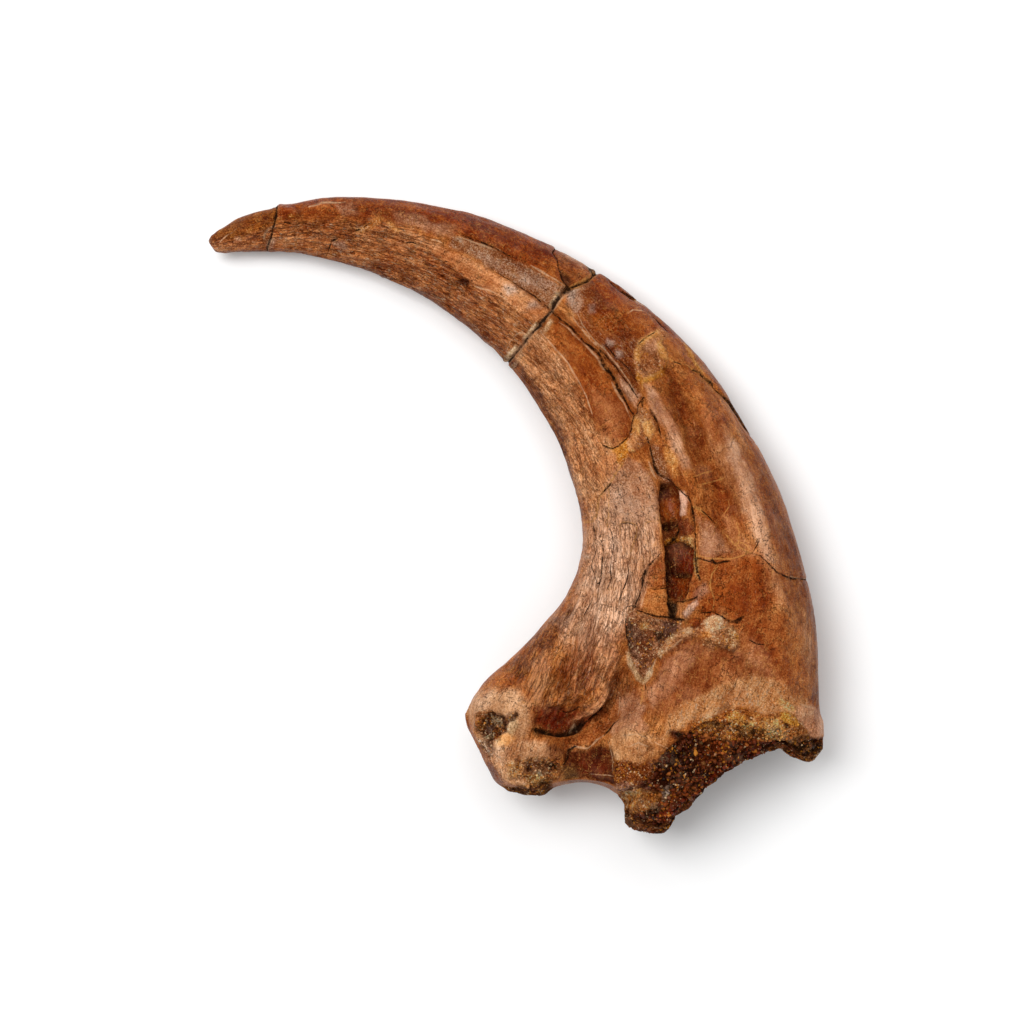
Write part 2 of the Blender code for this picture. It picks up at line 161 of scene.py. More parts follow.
def pathDistance(xy, path):
    # distance to the nearest piece of the path, its side (+1 left, -1 right), and how far along, 0 to 1
    path = np.asarray(path, float)
    nearest = np.full(xy.shape[:-1], 1e9)
    side = np.ones(xy.shape[:-1])
    along = np.zeros(xy.shape[:-1])
    passed = runLength(path)
    for start, step, before in zip(path, np.diff(path, axis=0), passed):
        offset = xy - start
        t = np.clip(offset @ step / (step @ step), 0, 1)
        distance = np.linalg.norm(offset - t[..., None] * step, axis=-1)
        closer = distance < nearest
        turn = np.sign(step[0] * offset[..., 1] - step[1] * offset[..., 0])
        nearest = np.where(closer, distance, nearest)
        side = np.where(closer, turn, side)
        along = np.where(closer, (before + t * np.linalg.norm(step)) / passed[-1], along)
    return nearest, side, along


def fadedEnds(along, least, power):          # least at both ends, 1 in the middle, by sin(pi along)^power
    return least + (1 - least) * np.sin(np.pi * along) ** power


def outlinePoint(station, share):            # inner + (outer - inner) * share, bent towards the end line
    edges = smoothCurve(clawForm["stations"], station)
    inner, outer = edges[..., 0:2], edges[..., 2:4]
    part = share[..., None]
    end = alongLength(clawForm["endLine"], share)[..., :2]
    ends = np.array([clawForm["endLine"][0][:2], clawForm["endLine"][-1][:2]])
    chord = ends[0] * (1 - part) + ends[1] * part
    toEnd = (station - clawForm["bendFrom"]) / (len(clawForm["stations"]) - 1 - clawForm["bendFrom"])
    bend = np.clip(toEnd, 0, 1) ** clawForm["bendPower"]
    return inner + (outer - inner) * part + (end - chord) * bend[..., None]


def endNormal(share):                        # normal of the end line, out of the claw
    reach = 0.012
    after = alongLength(clawForm["endLine"], np.clip(share + reach, 0, 1))[..., :2]
    before = alongLength(clawForm["endLine"], np.clip(share - reach, 0, 1))[..., :2]
    run = after - before
    normal = np.stack([run[..., 1], -run[..., 0]], axis=-1)
    return normal / np.linalg.norm(normal, axis=-1, keepdims=True)


def flankHeight(station, share, section):
    # blade: half * (1 - |across|^p)^(1/p), rounded at the tip; joint: the end line's own half thickness
    form = clawForm
    half = smoothCurve(form["stations"], station)[..., 4]
    tip = np.sqrt(1 - (1 - np.clip(station, 0, 1)) ** 2)
    bladeLean, bladePower = section
    lean = bladeLean - (bladeLean - 1) * form["uprightShare"] * smoothStep(station, *form["uprightFrom"])
    power = bladePower + form["squarer"] * smoothStep(station, *form["squareFrom"])
    across = 2 * share**lean - 1
    blade = half * tip * np.maximum(1 - np.abs(across) ** power, 0) ** (1 / power)
    endHalf = alongLength(form["endLine"], share)[..., 2]
    endRound = np.sqrt(np.maximum(1 - np.abs(2 * share - 1) ** form["endPower"], 0))
    blend = smoothStep(station, form["bendFrom"], len(form["stations"]) - 1)
    return blade * (1 - blend) + endHalf * endRound * blend


def flankRelief(xy, furrows, pits):          # sum of depth * exp(-(distance / width)^2), and of the pits
    depth = np.zeros(xy.shape[:-1])
    for path, halfWidth, deep in furrows:
        distance, _, along = pathDistance(xy, path)
        ends = fadedEnds(along, *clawForm["furrowEnds"])
        depth += deep * ends * np.exp(-((distance / halfWidth) ** 2))
    for x, y, halfLength, halfWidth, turn, deep in pits:
        c, s = np.cos(np.radians(turn)), np.sin(np.radians(turn))
        dx, dy = xy[..., 0] - x, xy[..., 1] - y
        reach = ((dx * c + dy * s) / halfLength) ** 2 + ((dy * c - dx * s) / halfWidth) ** 2
        depth += deep * np.exp(-(reach**1.5))
    return depth


def flankPoint(station, share, upper):
    # a point of one flank: outline, then height minus the rim's fall and the relief
    form = clawForm
    lastStation = len(form["stations"]) - 1
    rim, furrows, pits, section = (form[("upper" if upper else "lower") + part]
                                   for part in ("Rim", "Furrows", "Pits", "Section"))
    inset, _ = tableAt(form["endFace"], share)
    end = outlinePoint(np.full_like(station, lastStation), share)
    xy = outlinePoint(station, share)
    xy = xy - endNormal(share) * (inset * smoothStep(station, form["insetFrom"], lastStation))[..., None]
    radius, drop = tableAt(rim, share)
    toEnd = np.clip(np.linalg.norm(end - xy, axis=-1) / radius, 0, 1)
    height = flankHeight(station, share, section)
    if not upper:
        x, y, reach, extra = form["lowerFullness"]
        height = height + extra * np.exp(-((np.hypot(xy[..., 0] - x, xy[..., 1] - y) / reach) ** 2))
    cut = flankRelief(xy, furrows, pits) * np.clip(height / form["reliefFrom"], 0, 1)
    fall = drop * (1 - np.sqrt(1 - (1 - toEnd) ** 2)) * smoothStep(station, *form["rimFrom"])
    fall = np.minimum(fall, form["mostRimFall"] * height)
    z = np.maximum(height - fall - cut, form["leastHeight"] * height)
    z = z * (share > 0) * (share < 1)
    return np.concatenate([xy, (z if upper else -z)[..., None]], axis=-1)


def laidDown(points):                        # leaned over, set on the ground and worn flat where it rests
    a, b = np.radians(clawForm["leanToTip"]), np.radians(clawForm["leanToInner"])
    aboutX = np.array([[1, 0, 0], [0, np.cos(a), np.sin(a)], [0, -np.sin(a), np.cos(a)]])
    aboutY = np.array([[np.cos(b), 0, -np.sin(b)], [0, 1, 0], [np.sin(b), 0, np.cos(b)]])
    points = points @ (aboutY @ aboutX).T
    points[:, 2] -= points[:, 2].min() + clawForm["wornFlat"]
    points[:, 2] = np.maximum(points[:, 2], 0)
    return points


# Noise that is the same in every run.
def hashed(cell, seed):                      # a number from 0 to 1 for each whole-number cell
    c = cell.astype(np.int64).astype(np.uint32)
    h = (c[..., 0] * np.uint32(0x8DA6B343)) ^ (c[..., 1] * np.uint32(0xD8163841))
    h = h ^ (c[..., 2] * np.uint32(0xCB1AB31F)) ^ np.uint32(seed * 0x9E3779B1 & 0xFFFFFFFF)
    h = (h ^ (h >> np.uint32(15))) * np.uint32(0x2C1B3C6D)
    h = (h ^ (h >> np.uint32(12))) * np.uint32(0x297A2D39)
    return (h ^ (h >> np.uint32(15))) / 4294967296.0


def softNoise(points, size, seed=0):         # smooth noise from -1 to 1 with lumps of the given size
    p = points / size
    cell = np.floor(p)
    t = p - cell
    t = t * t * t * (t * (6 * t - 15) + 10)
    total = 0
    for corner in np.ndindex(2, 2, 2):
        weight = np.prod(np.where(np.array(corner), t, 1 - t), axis=-1)
        total = total + weight * hashed(cell + np.array(corner), seed)
    return 2 * total - 1


def layeredNoise(points, size, layers=3, seed=0, fade=0.55):     # sum of halving sizes, about -1 to 1
    total, weight = 0, 0
    for k in range(layers):
        total = total + fade**k * softNoise(points + 7.3 * k, size / 2**k, seed + k)
        weight += fade**k
    return total / weight * 1.4


def cellNoise(points, size, seed=0):         # distances to the nearest two of the scattered points
    p = points / size
    cell = np.floor(p)
    first = np.full(p.shape[:-1], 9.0)
    second = np.full(p.shape[:-1], 9.0)
    for corner in np.ndindex(3, 3, 3):
        near = cell + np.array(corner) - 1
        spot = near + np.stack([hashed(near, seed + k) for k in (11, 12, 13)], axis=-1)
        d = np.linalg.norm(spot - p, axis=-1)
        second = np.minimum(second, np.maximum(first, d))
        first = np.minimum(first, d)
    return first, second


# The mesh of the claw: rings of different counts, zipped together.
def arcShares(station, upper):
    # length of the flank at each station, and the shares that lie at even distances along it
    share = (1 - np.cos(np.linspace(0, np.pi, clawMesh["arcSamples"]))) / 2
    grid = np.broadcast_to(share, (len(station), len(share)))
    points = flankPoint(np.repeat(station[:, None], len(share), axis=1), grid, upper)
    steps = np.linalg.norm(np.diff(points, axis=1), axis=-1)
    arc = np.concatenate([np.zeros((len(station), 1)), np.cumsum(steps, axis=1)], axis=1)
    total = arc[:, -1]
    flatArc = (arc / total[:, None] + 2 * np.arange(len(station))[:, None]).ravel()
    return total, lambda ring, t: np.interp(2 * ring + t, flatArc, grid.ravel())


def ringPlan():
    # station of every vertex, its share, and whether it is on the upper flank: the upper half of a ring
    # runs from the inner edge to the outer edge, and the lower half runs back
    lastStation = len(clawForm["stations"]) - 1
    fine = np.linspace(0, lastStation, 3000)
    length = runLength(outlinePoint(fine, np.full_like(fine, 0.5)))
    even = np.arange(0.3, length[-1], clawMesh["alongStep"])
    station = np.concatenate([[0.008, 0.03], np.interp(even, length, fine), [lastStation]])
    upperLength, upperShare = arcShares(station, True)
    lowerLength, lowerShare = arcShares(station, False)
    upperCount = np.maximum(np.round(upperLength / clawMesh["upperStep"]), 5).astype(int)
    lowerCount = np.maximum(np.round(lowerLength / clawMesh["lowerStep"]), 4).astype(int)
    total = upperCount + lowerCount
    ring = np.repeat(np.arange(len(station)), total)
    k = np.arange(total.sum()) - np.repeat(np.cumsum(total) - total, total)
    onLower = (k - upperCount[ring]) / lowerCount[ring]
    turn = np.where(k < upperCount[ring], k / upperCount[ring], 1 + onLower)
    upper = turn <= 1
    shares = [upperShare(ring, np.minimum(turn, 1)), lowerShare(ring, np.clip(2 - turn, 0, 1))]
    share = np.where(upper, *shares)
    share = np.where(turn == 0, 0, np.where(turn == 1, 1, share))
    return station[ring], share, upper, np.stack([upperCount, lowerCount], axis=1)


def zippedRings(counts, loopIds):
    # every edge of either ring makes one triangle with the point of the other ring that is level with it
    total = counts.sum(axis=1)
    ring = np.repeat(np.arange(len(total)), total)
    first = np.cumsum(total) - total
    k = np.arange(len(ring)) - first[ring]
    upperCount, lowerCount = counts[ring, 0], counts[ring, 1]
    middle = np.where(k < upperCount, (k + 0.5) / upperCount, 1 + (k - upperCount + 0.5) / lowerCount)
    near, far = ring < len(total) - 1, ring > 0
    strip = np.concatenate([ring[near], ring[far] - 1])
    isFar = np.concatenate([np.zeros(near.sum(), int), np.ones(far.sum(), int)])
    edge = np.concatenate([k[near], k[far]])
    order = np.lexsort((isFar, np.concatenate([middle[near], middle[far]]), strip))
    strip, isFar, edge = strip[order], isFar[order], edge[order]
    nearDone, farDone = np.cumsum(1 - isFar) - first[strip], np.cumsum(isFar) - first[strip + 1] + total[0]
    other = np.where(isFar == 1, nearDone, farDone)
    ownRing = strip + isFar
    otherRing = strip + 1 - isFar
    a = loopIds[first[ownRing] + edge]
    b = loopIds[first[ownRing] + (edge + 1) % total[ownRing]]
    c = loopIds[first[otherRing] + other % total[otherRing]]
    return np.where(isFar[:, None] == 1, np.stack([a, b, c], axis=1), np.stack([b, a, c], axis=1))


def clawSurface():
    # points in mm as drawn, before the claw is laid down, with what each point is
    station, share, upper, counts = ringPlan()
    points = np.where(upper[:, None], flankPoint(station, share, True), flankPoint(station, share, False))
    lastStation = len(clawForm["stations"]) - 1
    # the joint face: xy + normal * (inset (1 - left^2) - hollow (1 - cos 2 pi left) / 2), z * left
    endLength = alongLength(clawForm["endLine"], np.linspace(0, 1, 400))
    faceCount = int(runLength(endLength[:, :2])[-1] / clawMesh["faceStep"])
    rows = int(np.abs(points[station == lastStation, 2]).max() / clawMesh["faceStep"])
    edge = np.linspace(0, 1, faceCount + 1)
    loopShare = np.concatenate([edge, edge[-2:0:-1]])
    loopUpper = np.arange(2 * faceCount) <= faceCount
    atEnd = np.full_like(loopShare, lastStation)
    rims = [flankPoint(atEnd, loopShare, isUpper) for isUpper in (True, False)]
    rim = np.where(loopUpper[:, None], *rims)
    inset, hollow = tableAt(clawForm["endFace"], loopShare)
    left = 1 - np.arange(1, rows + 1)[:, None] / rows
    bulge = inset * (1 - left**2) - hollow * (1 - np.cos(2 * np.pi * left)) / 2
    faceXy = rim[:, :2] + endNormal(loopShare) * bulge[..., None]
    face = np.concatenate([faceXy, (rim[:, 2] * left)[..., None]], axis=-1)
    keel = face[-1, : faceCount + 1]
    tip = np.array([[*clawForm["stations"][0][:2], 0.0]])
    allPoints = np.vstack([tip, points, face[:-1].reshape(-1, 3), keel])
    # loops of vertex numbers, one per ring, and the keel is one line that its loop runs along twice
    keelStart = len(allPoints) - len(keel)
    keelLoop = keelStart + np.concatenate([np.arange(faceCount + 1), np.arange(faceCount - 1, 0, -1)])
    loopIds = np.concatenate([np.arange(1, keelStart), keelLoop])
    faceCounts = np.full((rows, 2), faceCount)
    triangles = zippedRings(np.vstack([counts, faceCounts]), loopIds)
    firstRing = 1 + np.arange(counts[0].sum())
    fan = np.stack([np.zeros_like(firstRing), firstRing, np.roll(firstRing, -1)], axis=1)
    triangles = np.vstack([fan, triangles])
    grow = np.concatenate([[0], station, np.full(face[:-1].size // 3 + len(keel), lastStation)])
    facePart = np.concatenate([[0], np.zeros(len(station)), np.repeat(1 - left[:-1, 0], 2 * faceCount),
                               np.ones(len(keel))])
    shareAll = np.concatenate([[0.5], share, np.tile(loopShare, rows - 1), edge])
    upperAll = np.concatenate([[True], upper, np.tile(loopUpper, rows - 1), np.ones(len(keel), bool)])
    return {"points": allPoints, "triangles": triangles, "station": grow, "share": shareAll,
            "upper": upperAll, "facePart": facePart}


def pointNormals(points, triangles):         # area-weighted mean of the normals of the triangles at a point
    a, b, c = (points[triangles[:, k]] for k in range(3))
    normal = np.cross(b - a, c - a)
    total = np.stack([sum(np.bincount(triangles[:, k], normal[:, axis], len(points)) for k in range(3))
                      for axis in range(3)], axis=1)
    return total / np.maximum(np.linalg.norm(total, axis=1, keepdims=True), 1e-12)


# Fitting the surface into the claw's box: mm kept free before and after the relief is added, on every side
# but the ground.
clawFit = {"clearance": 0.15, "margin": 0.02}


def fitted(points):
    # (point - own corner) * (wanted size / own size) + wanted corner, and the ground stays at 0
    low, high = (np.array(corner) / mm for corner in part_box("fossil_claw"))
    low, high = low + clawFit["clearance"], high - clawFit["clearance"]
    low[2] = 0.0
    ownLow, ownHigh = points.min(axis=0), points.max(axis=0)
    return (points - ownLow) * (high - low) / (ownHigh - ownLow) + low


def pushed(points, normals, height):         # points moved along their normals, kept inside the box
    low, high = (np.array(corner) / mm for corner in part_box("fossil_claw"))
    margin = clawFit["margin"]
    moved = points + normals * height[:, None]
    return np.clip(moved, [low[0] + margin, low[1] + margin, 0.0], high - margin)


def meshObject(name, points, triangles, material):
    mesh = bpy.data.meshes.new(name)
    mesh.from_pydata((points * mm).tolist(), [], triangles.tolist())
    mesh.polygons.foreach_set("use_smooth", np.ones(len(triangles), bool))
    mesh.materials.append(material)
    made = bpy.data.objects.new(name, mesh)
    bpy.context.collection.objects.link(made)
    return made


# The drawing of the claw lies on a sheet: units of 0.25 mm, x to the right and y down, as the claw looks
# from an eye straight above it.
sheet = {"unit": 0.25, "middle": 512.0, "eyeX": -0.28, "eyeY": -0.01, "eyeHeight": 729.1, "level": 18.0}

# Colours as red, green, blue from 0 to 255, the way a paint program shows them.
tones = {
    "brown": (166, 92, 40), "tipBrown": (126, 62, 14), "fibreBrown": (164, 91, 45), "shade": (84, 24, 2),
    "amber": (129, 51, 6), "darkAmber": (119, 42, 2), "troughGrey": (170, 106, 66),
    "orangeTan": (191, 119, 71), "redBrown": (101, 22, 2), "innerTan": (198, 130, 82),
    "paleFibre": (229, 174, 135), "roseBrown": (131, 55, 16), "ochre": (250, 170, 92),
    "valley": (114, 46, 9), "ridge": (163, 106, 68), "plate": (132, 62, 22), "deepPlate": (138, 62, 18),
    "slot": (78, 17, 1), "greyMatrix": (178, 112, 72), "basePlate": (136, 69, 32),
    "rimTan": (212, 142, 86), "heelTan": (211, 159, 116), "heelLow": (230, 163, 113),
    "darkRed": (96, 19, 2), "hollow": (58, 6, 0), "sponge": (84, 28, 6), "crust": (192, 108, 46),
    "cream": (255, 214, 164), "pit": (86, 38, 16), "pinkHighlight": (236, 186, 158), "hole": (16, 6, 3),
    "fleck": (226, 186, 152), "crack": (34, 12, 4), "ochreLine": (206, 142, 74),
    "paleLine": (214, 168, 128), "filler": (232, 190, 140), "violet": (84, 48, 38), "ember": (136, 58, 8),
    "gold": (226, 142, 46), "rose": (201, 142, 105), "dust": (226, 196, 172), "olive": (102, 72, 34),
}

# Finishes of the surface: how much of each texture it has, from 0 to 1. What isn't named stays as it was.
smooth = {"gloss": 0.8, "fibre": 0.1, "fleck": 0.1}
dusty = {"fleck": 0.6, "grain": 1, "gloss": 0.15, "fibre": 0.1}
powder = {"grain": 0.7, "matrix": 0.3, "gloss": 0, "fibre": 0}
crumbs = {"matrix": 1, "gloss": 0, "fibre": 0, "fleck": 0, "grain": 0.5}
spongy = {"sponge": 1, "matrix": 0, "gloss": 0, "fibre": 0, "fleck": 0}
veined = {"vein": 1, "gloss": 0.6, "fibre": 0.1, "fleck": 0.2}

# Patches, in painting order; a patch covers the ones before it.
# tone, amount, softness of the edge, height in mm, finish, corners
patches = [
    # tip and blade
    ("amber", 0.9, 12, 0, {"gloss": 0.5, "fibre": 0.2},
     "240,205 300,190 400,192 500,215 600,268 592,284 560,280 500,250 457,235 400,224 340,215 262,222"),
    ("tipBrown", 0.9, 5, 0, {"gloss": 0.3, "fibre": 0.3, "fleck": 0.25},
     "200,255 203,222 240,203 277,202 279,215 272,256"),
    ("rose", 0.6, 3, 0.2, dusty, "206,232 213,233 214,241 210,250 205,248"),
    ("fibreBrown", 0.95, 8, 0, {"fibre": 1, "fleck": 0.9, "pore": 0.3, "rib": 0.4},
     "212,244 270,228 330,218 385,222 430,240 480,268 545,314 509,367 470,325 430,300 380,276 330,260 "
     "270,257 215,256"),
    ("rose", 0.4, 6, 0, {"fleck": 0.6, "grain": 0.5}, "336,204 352,203 356,213 342,214"),
    ("orangeTan", 0.55, 10, 0, {}, "370,222 400,229 450,252 470,272 440,264 395,246 362,238"),
    ("ochre", 0.55, 3, 0, dusty, "355,232 366,224 379,216 384,218 374,227 362,234"),
    ("ochre", 0.6, 3, 0, dusty, "385,221 391,223 400,231 398,234 389,228"),
    ("dust", 0.28, 6.8, 0, dusty, "334,239 344,241 347,248 340,250 333,244"),
    ("dust", 0.2, 4, 0.1, dusty, "268,243 273,239 277,240 277,244 273,249 267,251"),
    ("paleFibre", 0.6, 3, 0, {}, "233,236 240,235 241,239 235,240"),
    ("darkAmber", 0.5, 5, 0.1, {"gloss": 0.7}, "279,207 290,205 301,208 300,219 288,222 279,216"),
    ("gold", 0.6, 2, 0, dusty, "289,216 293,215 294,218 290,219"),
    ("shade", 0.7, 3, -0.15, {}, "296,208 302,211 302,217 295,219 297,213"),
    ("shade", 0.55, 3, 0, {}, "284,220 298,220 298,224 286,224"),
    ("shade", 0.75, 9, 0, {}, "296,252 380,268 430,292 470,318 511,362 500,370 440,326 380,290 300,264"),
    ("darkAmber", 0.8, 8, 0, {"gloss": 0.7},
     "384,201 430,206 470,216 520,234 558,252 552,262 505,246 460,230 400,216"),
    ("rose", 0.55, 8, 0, {"grain": 0.5}, "392,213 425,217 452,226 450,238 420,230 396,224"),
    # trough, tan plate and facet above the break
    ("troughGrey", 0.8, 5, -0.15, {"fleck": 1, "gloss": 0, "fibre": 0.1, "grain": 1},
     "450,236 470,240 487,246 500,252 520,260 540,271 553,280 567,287 549,308 535,296 519,285 500,273 "
     "480,262 466,254 448,245"),
    ("dust", 0.25, 8.5, 0, dusty, "520,268 540,274 552,284 545,293 530,287 518,278"),
    ("dust", 0.19, 6.8, 0, dusty, "474,252 496,262 512,274 502,272 484,262"),
    ("orangeTan", 0.9, 4, 0.1, {"fibre": 0.15, "fleck": 0.15, "gloss": 0.4},
     "430,243 457,253 482,266 508,281 530,293 550,308 540,324 527,315 508,303 490,292 470,280 450,266 "
     "430,254"),
    ("dust", 0.39, 8.5, 0, dusty, "506,286 514,286 517,291 511,294 505,290"),
    ("dust", 0.41, 6.8, 0, dusty, "529,304 536,303 539,308 533,310 528,307"),
    ("shade", 0.6, 3, -0.15, {}, "513,281 522,285 536,296 549,307 545,309 528,297 514,286"),
    ("slot", 0.95, 2.5, -0.5, {"gloss": 0.2}, "457,281 462,279 468,281 467,286 461,287 457,284"),
    ("plate", 0.9, 3, -0.2, {"gloss": 0.6},
     "556,248 575,256 590,266 597,272 588,280 568,287 560,275 558,262"),
    ("rose", 0.4, 4, 0.1, {"fleck": 0.4}, "560,249 586,262 594,270 582,266 563,256"),
    ("hole", 0.7, 4, -0.1, {}, "560,270 566,272 573,281 568,286 562,279"),
    ("ember", 0.6, 3, 0, {"gloss": 0.7}, "580,270 588,268 590,274 582,277"),
    ("olive", 0.6, 3, 0, dusty, "585,260 592,263 599,271 592,275 588,268"),
    ("cream", 0.8, 1.5, 0.15, powder, "502,361 508,352 515,345 517,348 510,357 505,365"),
    ("cream", 0.7, 1.5, 0.15, powder, "510,367 516,358 523,350 526,352 519,362 513,369"),
    ("filler", 0.6, 1.5, 0.1, powder, "522,338 529,329 536,322 538,324 531,333 525,341"),
    ("filler", 0.5, 1.5, 0.1, powder, "535,337 544,326 550,318 553,320 546,330 538,339"),
    ("filler", 0.6, 2, 0.1, powder, "548,305 553,298 558,291 561,293 556,301 551,308"),
    ("filler", 0.5, 2, 0.1, powder, "572,291 582,287 592,280 594,283 584,290 574,294"),
    # beyond the break
    ("amber", 0.9, 9, 0, {"gloss": 0.6, "fibre": 0.1},
     "597,272 645,300 690,345 715,372 690,352 660,330 634,348 600,300 580,288"),
    ("roseBrown", 0.85, 6, 0, {"grain": 0.5, "fleck": 0.6, "gloss": 0.5, "fibre": 0.4},
     "566,292 592,288 625,322 640,345 634,372 642,400 628,402 603,352 575,318"),
    ("darkAmber", 0.85, 7, -0.15, smooth, "588,312 605,308 622,318 626,330 610,334 594,328"),
    ("rose", 0.6, 5, 0, dusty, "568,292 580,290 584,302 576,312 566,304"),
    ("dust", 0.39, 5.1, 0.1, dusty, "571,290 578,289 577,297 572,306 569,300"),
    ("dust", 0.28, 6.8, 0.1, dusty, "590,306 596,304 597,311 592,312"),
    ("shade", 0.35, 6, 0, {"grain": 0.5, "fleck": 0.7}, "600,334 622,338 634,356 636,380 622,374 606,352"),
    ("dust", 0.44, 5, 0.1, dusty, "608,340 613,341 612,346 608,345"),
    ("dust", 0.44, 5, 0.1, dusty, "616,351 621,350 621,355 617,356"),
    ("rose", 0.7, 3, 0.1, {"gloss": 0.6}, "618,376 630,386 640,396 634,408 626,398"),
    ("amber", 0.75, 8, 0, {"gloss": 0.8, "fibre": 0.1},
     "556,310 570,322 592,348 612,376 632,414 626,432 612,446 600,436 586,400 568,362 548,332"),
    ("orangeTan", 0.45, 12, 0, {"fleck": 0.2}, "592,392 612,392 626,420 612,442 600,436"),
    ("darkAmber", 0.7, 9, 0, smooth, "566,330 584,345 600,368 604,392 590,384 574,356"),
    ("innerTan", 0.8, 8, 0, {"fibre": 0.9, "fleck": 0.6, "gloss": 0.4, "rib": 0.4},
     "540,328 562,356 578,384 598,440 600,500 588,524 578,500 568,455 548,412 526,378 512,360"),
    ("shade", 0.75, 6, 0, {"fibre": 1},
     "500,356 512,356 534,380 557,420 571,462 579,505 582,520 574,512 556,440 520,380"),
    ("innerTan", 0.6, 12, 0, {"gloss": 0.6, "fleck": 0.4}, "590,425 616,446 618,470 606,492 590,505"),
    # ochre fillings and the smooth chips between them
    ("orangeTan", 0.9, 3, 0.2, {"matrix": 0.6, "gloss": 0.4},
     "636,408 646,410 653,418 656,429 650,441 640,447 630,452 628,440 632,424"),
    ("ochre", 0.9, 3, 0.1, {"matrix": 0.4, "gloss": 0.5},
     "634,416 640,420 638,436 634,450 629,448 631,430"),
    ("ochre", 0.85, 3, 0.1, {"matrix": 0.4, "gloss": 0.5}, "642,424 650,420 655,430 650,440 644,436"),
    ("gold", 0.75, 3, 0.05, powder,
     "606,447 613,449 621,445 628,436 631,446 628,455 622,466 618,464 616,455"),
    ("rose", 0.6, 3, 0.1, {}, "627,440 634,432 638,440 634,448 628,448"),
    ("orangeTan", 0.95, 4, 0.15, {"matrix": 0.45, "gloss": 0.5},
     "634,350 640,341 650,335 660,329 669,334 662,342 665,356 668,363 662,373 655,379 646,381 640,384 "
     "635,372 633,360"),
    ("ochre", 0.9, 3, 0.1, {"matrix": 0.45, "gloss": 0.4},
     "634,350 640,341 650,335 658,331 657,337 648,341 640,350 639,362 634,360"),
    ("gold", 0.8, 3, 0.05, {"matrix": 0.45, "gloss": 0.4},
     "636,372 642,378 652,376 661,370 667,362 664,374 655,380 646,382 640,385 635,378"),
    ("ochre", 0.8, 3, 0.1, {"matrix": 0.45, "gloss": 0.4}, "655,343 661,342 666,352 667,362 661,358"),
    ("rose", 0.8, 4, 0.1, {"gloss": 0.4, "matrix": 0.2}, "646,344 656,341 659,349 652,354 645,351"),
    ("plate", 0.45, 3, 0, {"matrix": 0.3}, "642,360 650,359 652,366 646,371 641,367"),
    ("shade", 0.6, 2, -0.2, {}, "637,363 642,366 650,375 646,376 638,369"),
    ("shade", 0.5, 2, -0.2, {}, "656,352 659,358 660,368 656,366 654,357"),
    ("brown", 0.9, 3, 0.2, smooth, "663,342 676,336 685,345 682,355 670,358 663,351"),
    ("roseBrown", 0.7, 3, 0.1, smooth, "681,350 690,356 694,365 686,363 680,357"),
    ("gold", 0.7, 3, 0, powder, "684,344 690,350 699,364 703,372 697,368 689,355"),
    ("ochre", 0.75, 4, 0, powder, "664,448 670,450 676,460 679,474 674,478 670,466 665,458"),
    ("troughGrey", 0.6, 5, 0, dusty, "650,446 660,448 668,470 672,484 664,486 654,468"),
    # pale fibres with a painted sheen, and the plate above them
    # pale fibres, lightened further by a painted sheen in the same pale tone
    ("paleFibre", 0.75, 16, 0, {"fibre": 1, "gloss": 0.9, "fleck": 0.4, "rib": 0.6},
     "588,530 602,502 640,500 656,520 652,556 638,600 622,640 596,660 568,652 556,625 578,595 586,560"),
    ("rose", 0.7, 8, 0, {"pore": 0.9, "fleck": 0.5, "grain": 0.6, "fibre": 0.2},
     "612,470 630,455 650,470 658,500 656,520 620,520 608,505 606,485"),
    ("dust", 0.22, 15.3, 0, {"gloss": 0.7}, "610,490 630,486 640,500 636,516 616,514"),
    # the next two: painted highlights in the dust tone, on the pale fibres
    ("dust", 0.25, 11.9, 0, {"gloss": 0.9}, "608,530 620,528 624,560 612,572 606,550"),
    ("dust", 0.22, 11.9, 0, {"gloss": 0.9}, "592,575 602,566 606,600 596,622 584,640 580,626 590,600"),
    ("dust", 0.44, 5, 0, dusty, "583,555 591,554 590,558 584,558"),
    # ridge and valley, with a painted highlight and painted shade, and the outer edge
    # a paler ridge tone as painted highlight along the ridge
    ("ridge", 0.7, 12, 0.25, {"gloss": 0.8, "fibre": 0.15},
     "704,404 726,424 755,478 774,540 784,590 784,610 774,600 763,570 748,530 728,486 710,440"),
    # a narrow painted highlight along the ridge's crest
    ("paleFibre", 0.55, 8, 0.1, {"gloss": 0.9},
     "726,436 738,450 756,496 767,540 770,562 764,562 757,544 742,500 730,462"),
    ("deepPlate", 0.75, 10, 0, {"gloss": 0.7, "fibre": 0.1},
     "682,366 698,384 722,418 728,440 718,440 702,414 686,388"),
    ("deepPlate", 0.5, 5, 0, {"gloss": 0.8},
     "748,452 760,476 774,514 782,550 776,552 765,516 752,480 742,458"),
    # the valley: dark brown with painted shade, and sunk
    ("valley", 0.9, 9, -0.45, {"gloss": 0.5, "fibre": 0.15},
     "666,366 676,380 700,428 722,480 734,530 718,530 704,492 690,452 672,402"),
    # painted pinkish sheen along the inner ridge
    ("rose", 0.7, 7, 0.3, {"gloss": 0.9, "grain": 0.4},
     "644,382 656,390 674,424 692,468 684,470 668,440 652,408"),
    ("redBrown", 0.4, 4, -0.1, {}, "650,390 656,396 664,412 660,412 652,400"),
    ("shade", 0.45, 12, 0, {"fibre": 0.3},
     "738,430 770,480 796,540 812,610 822,700 808,700 797,620 780,545 756,478"),
    # painted sheen down the outer edge
    ("ridge", 0.45, 8, 0, {"gloss": 0.7}, "800,610 808,610 816,690 806,690"),
    # plates at the right
    ("plate", 0.8, 12, 0, {"gloss": 0.5, "fibre": 0.12},
     "698,520 740,530 768,570 788,620 790,690 740,690 704,660 696,600"),
    ("rose", 0.4, 6, 0.1, {"grain": 0.3, "fleck": 0.4}, "697,514 708,522 722,540 732,552 716,556 698,552"),
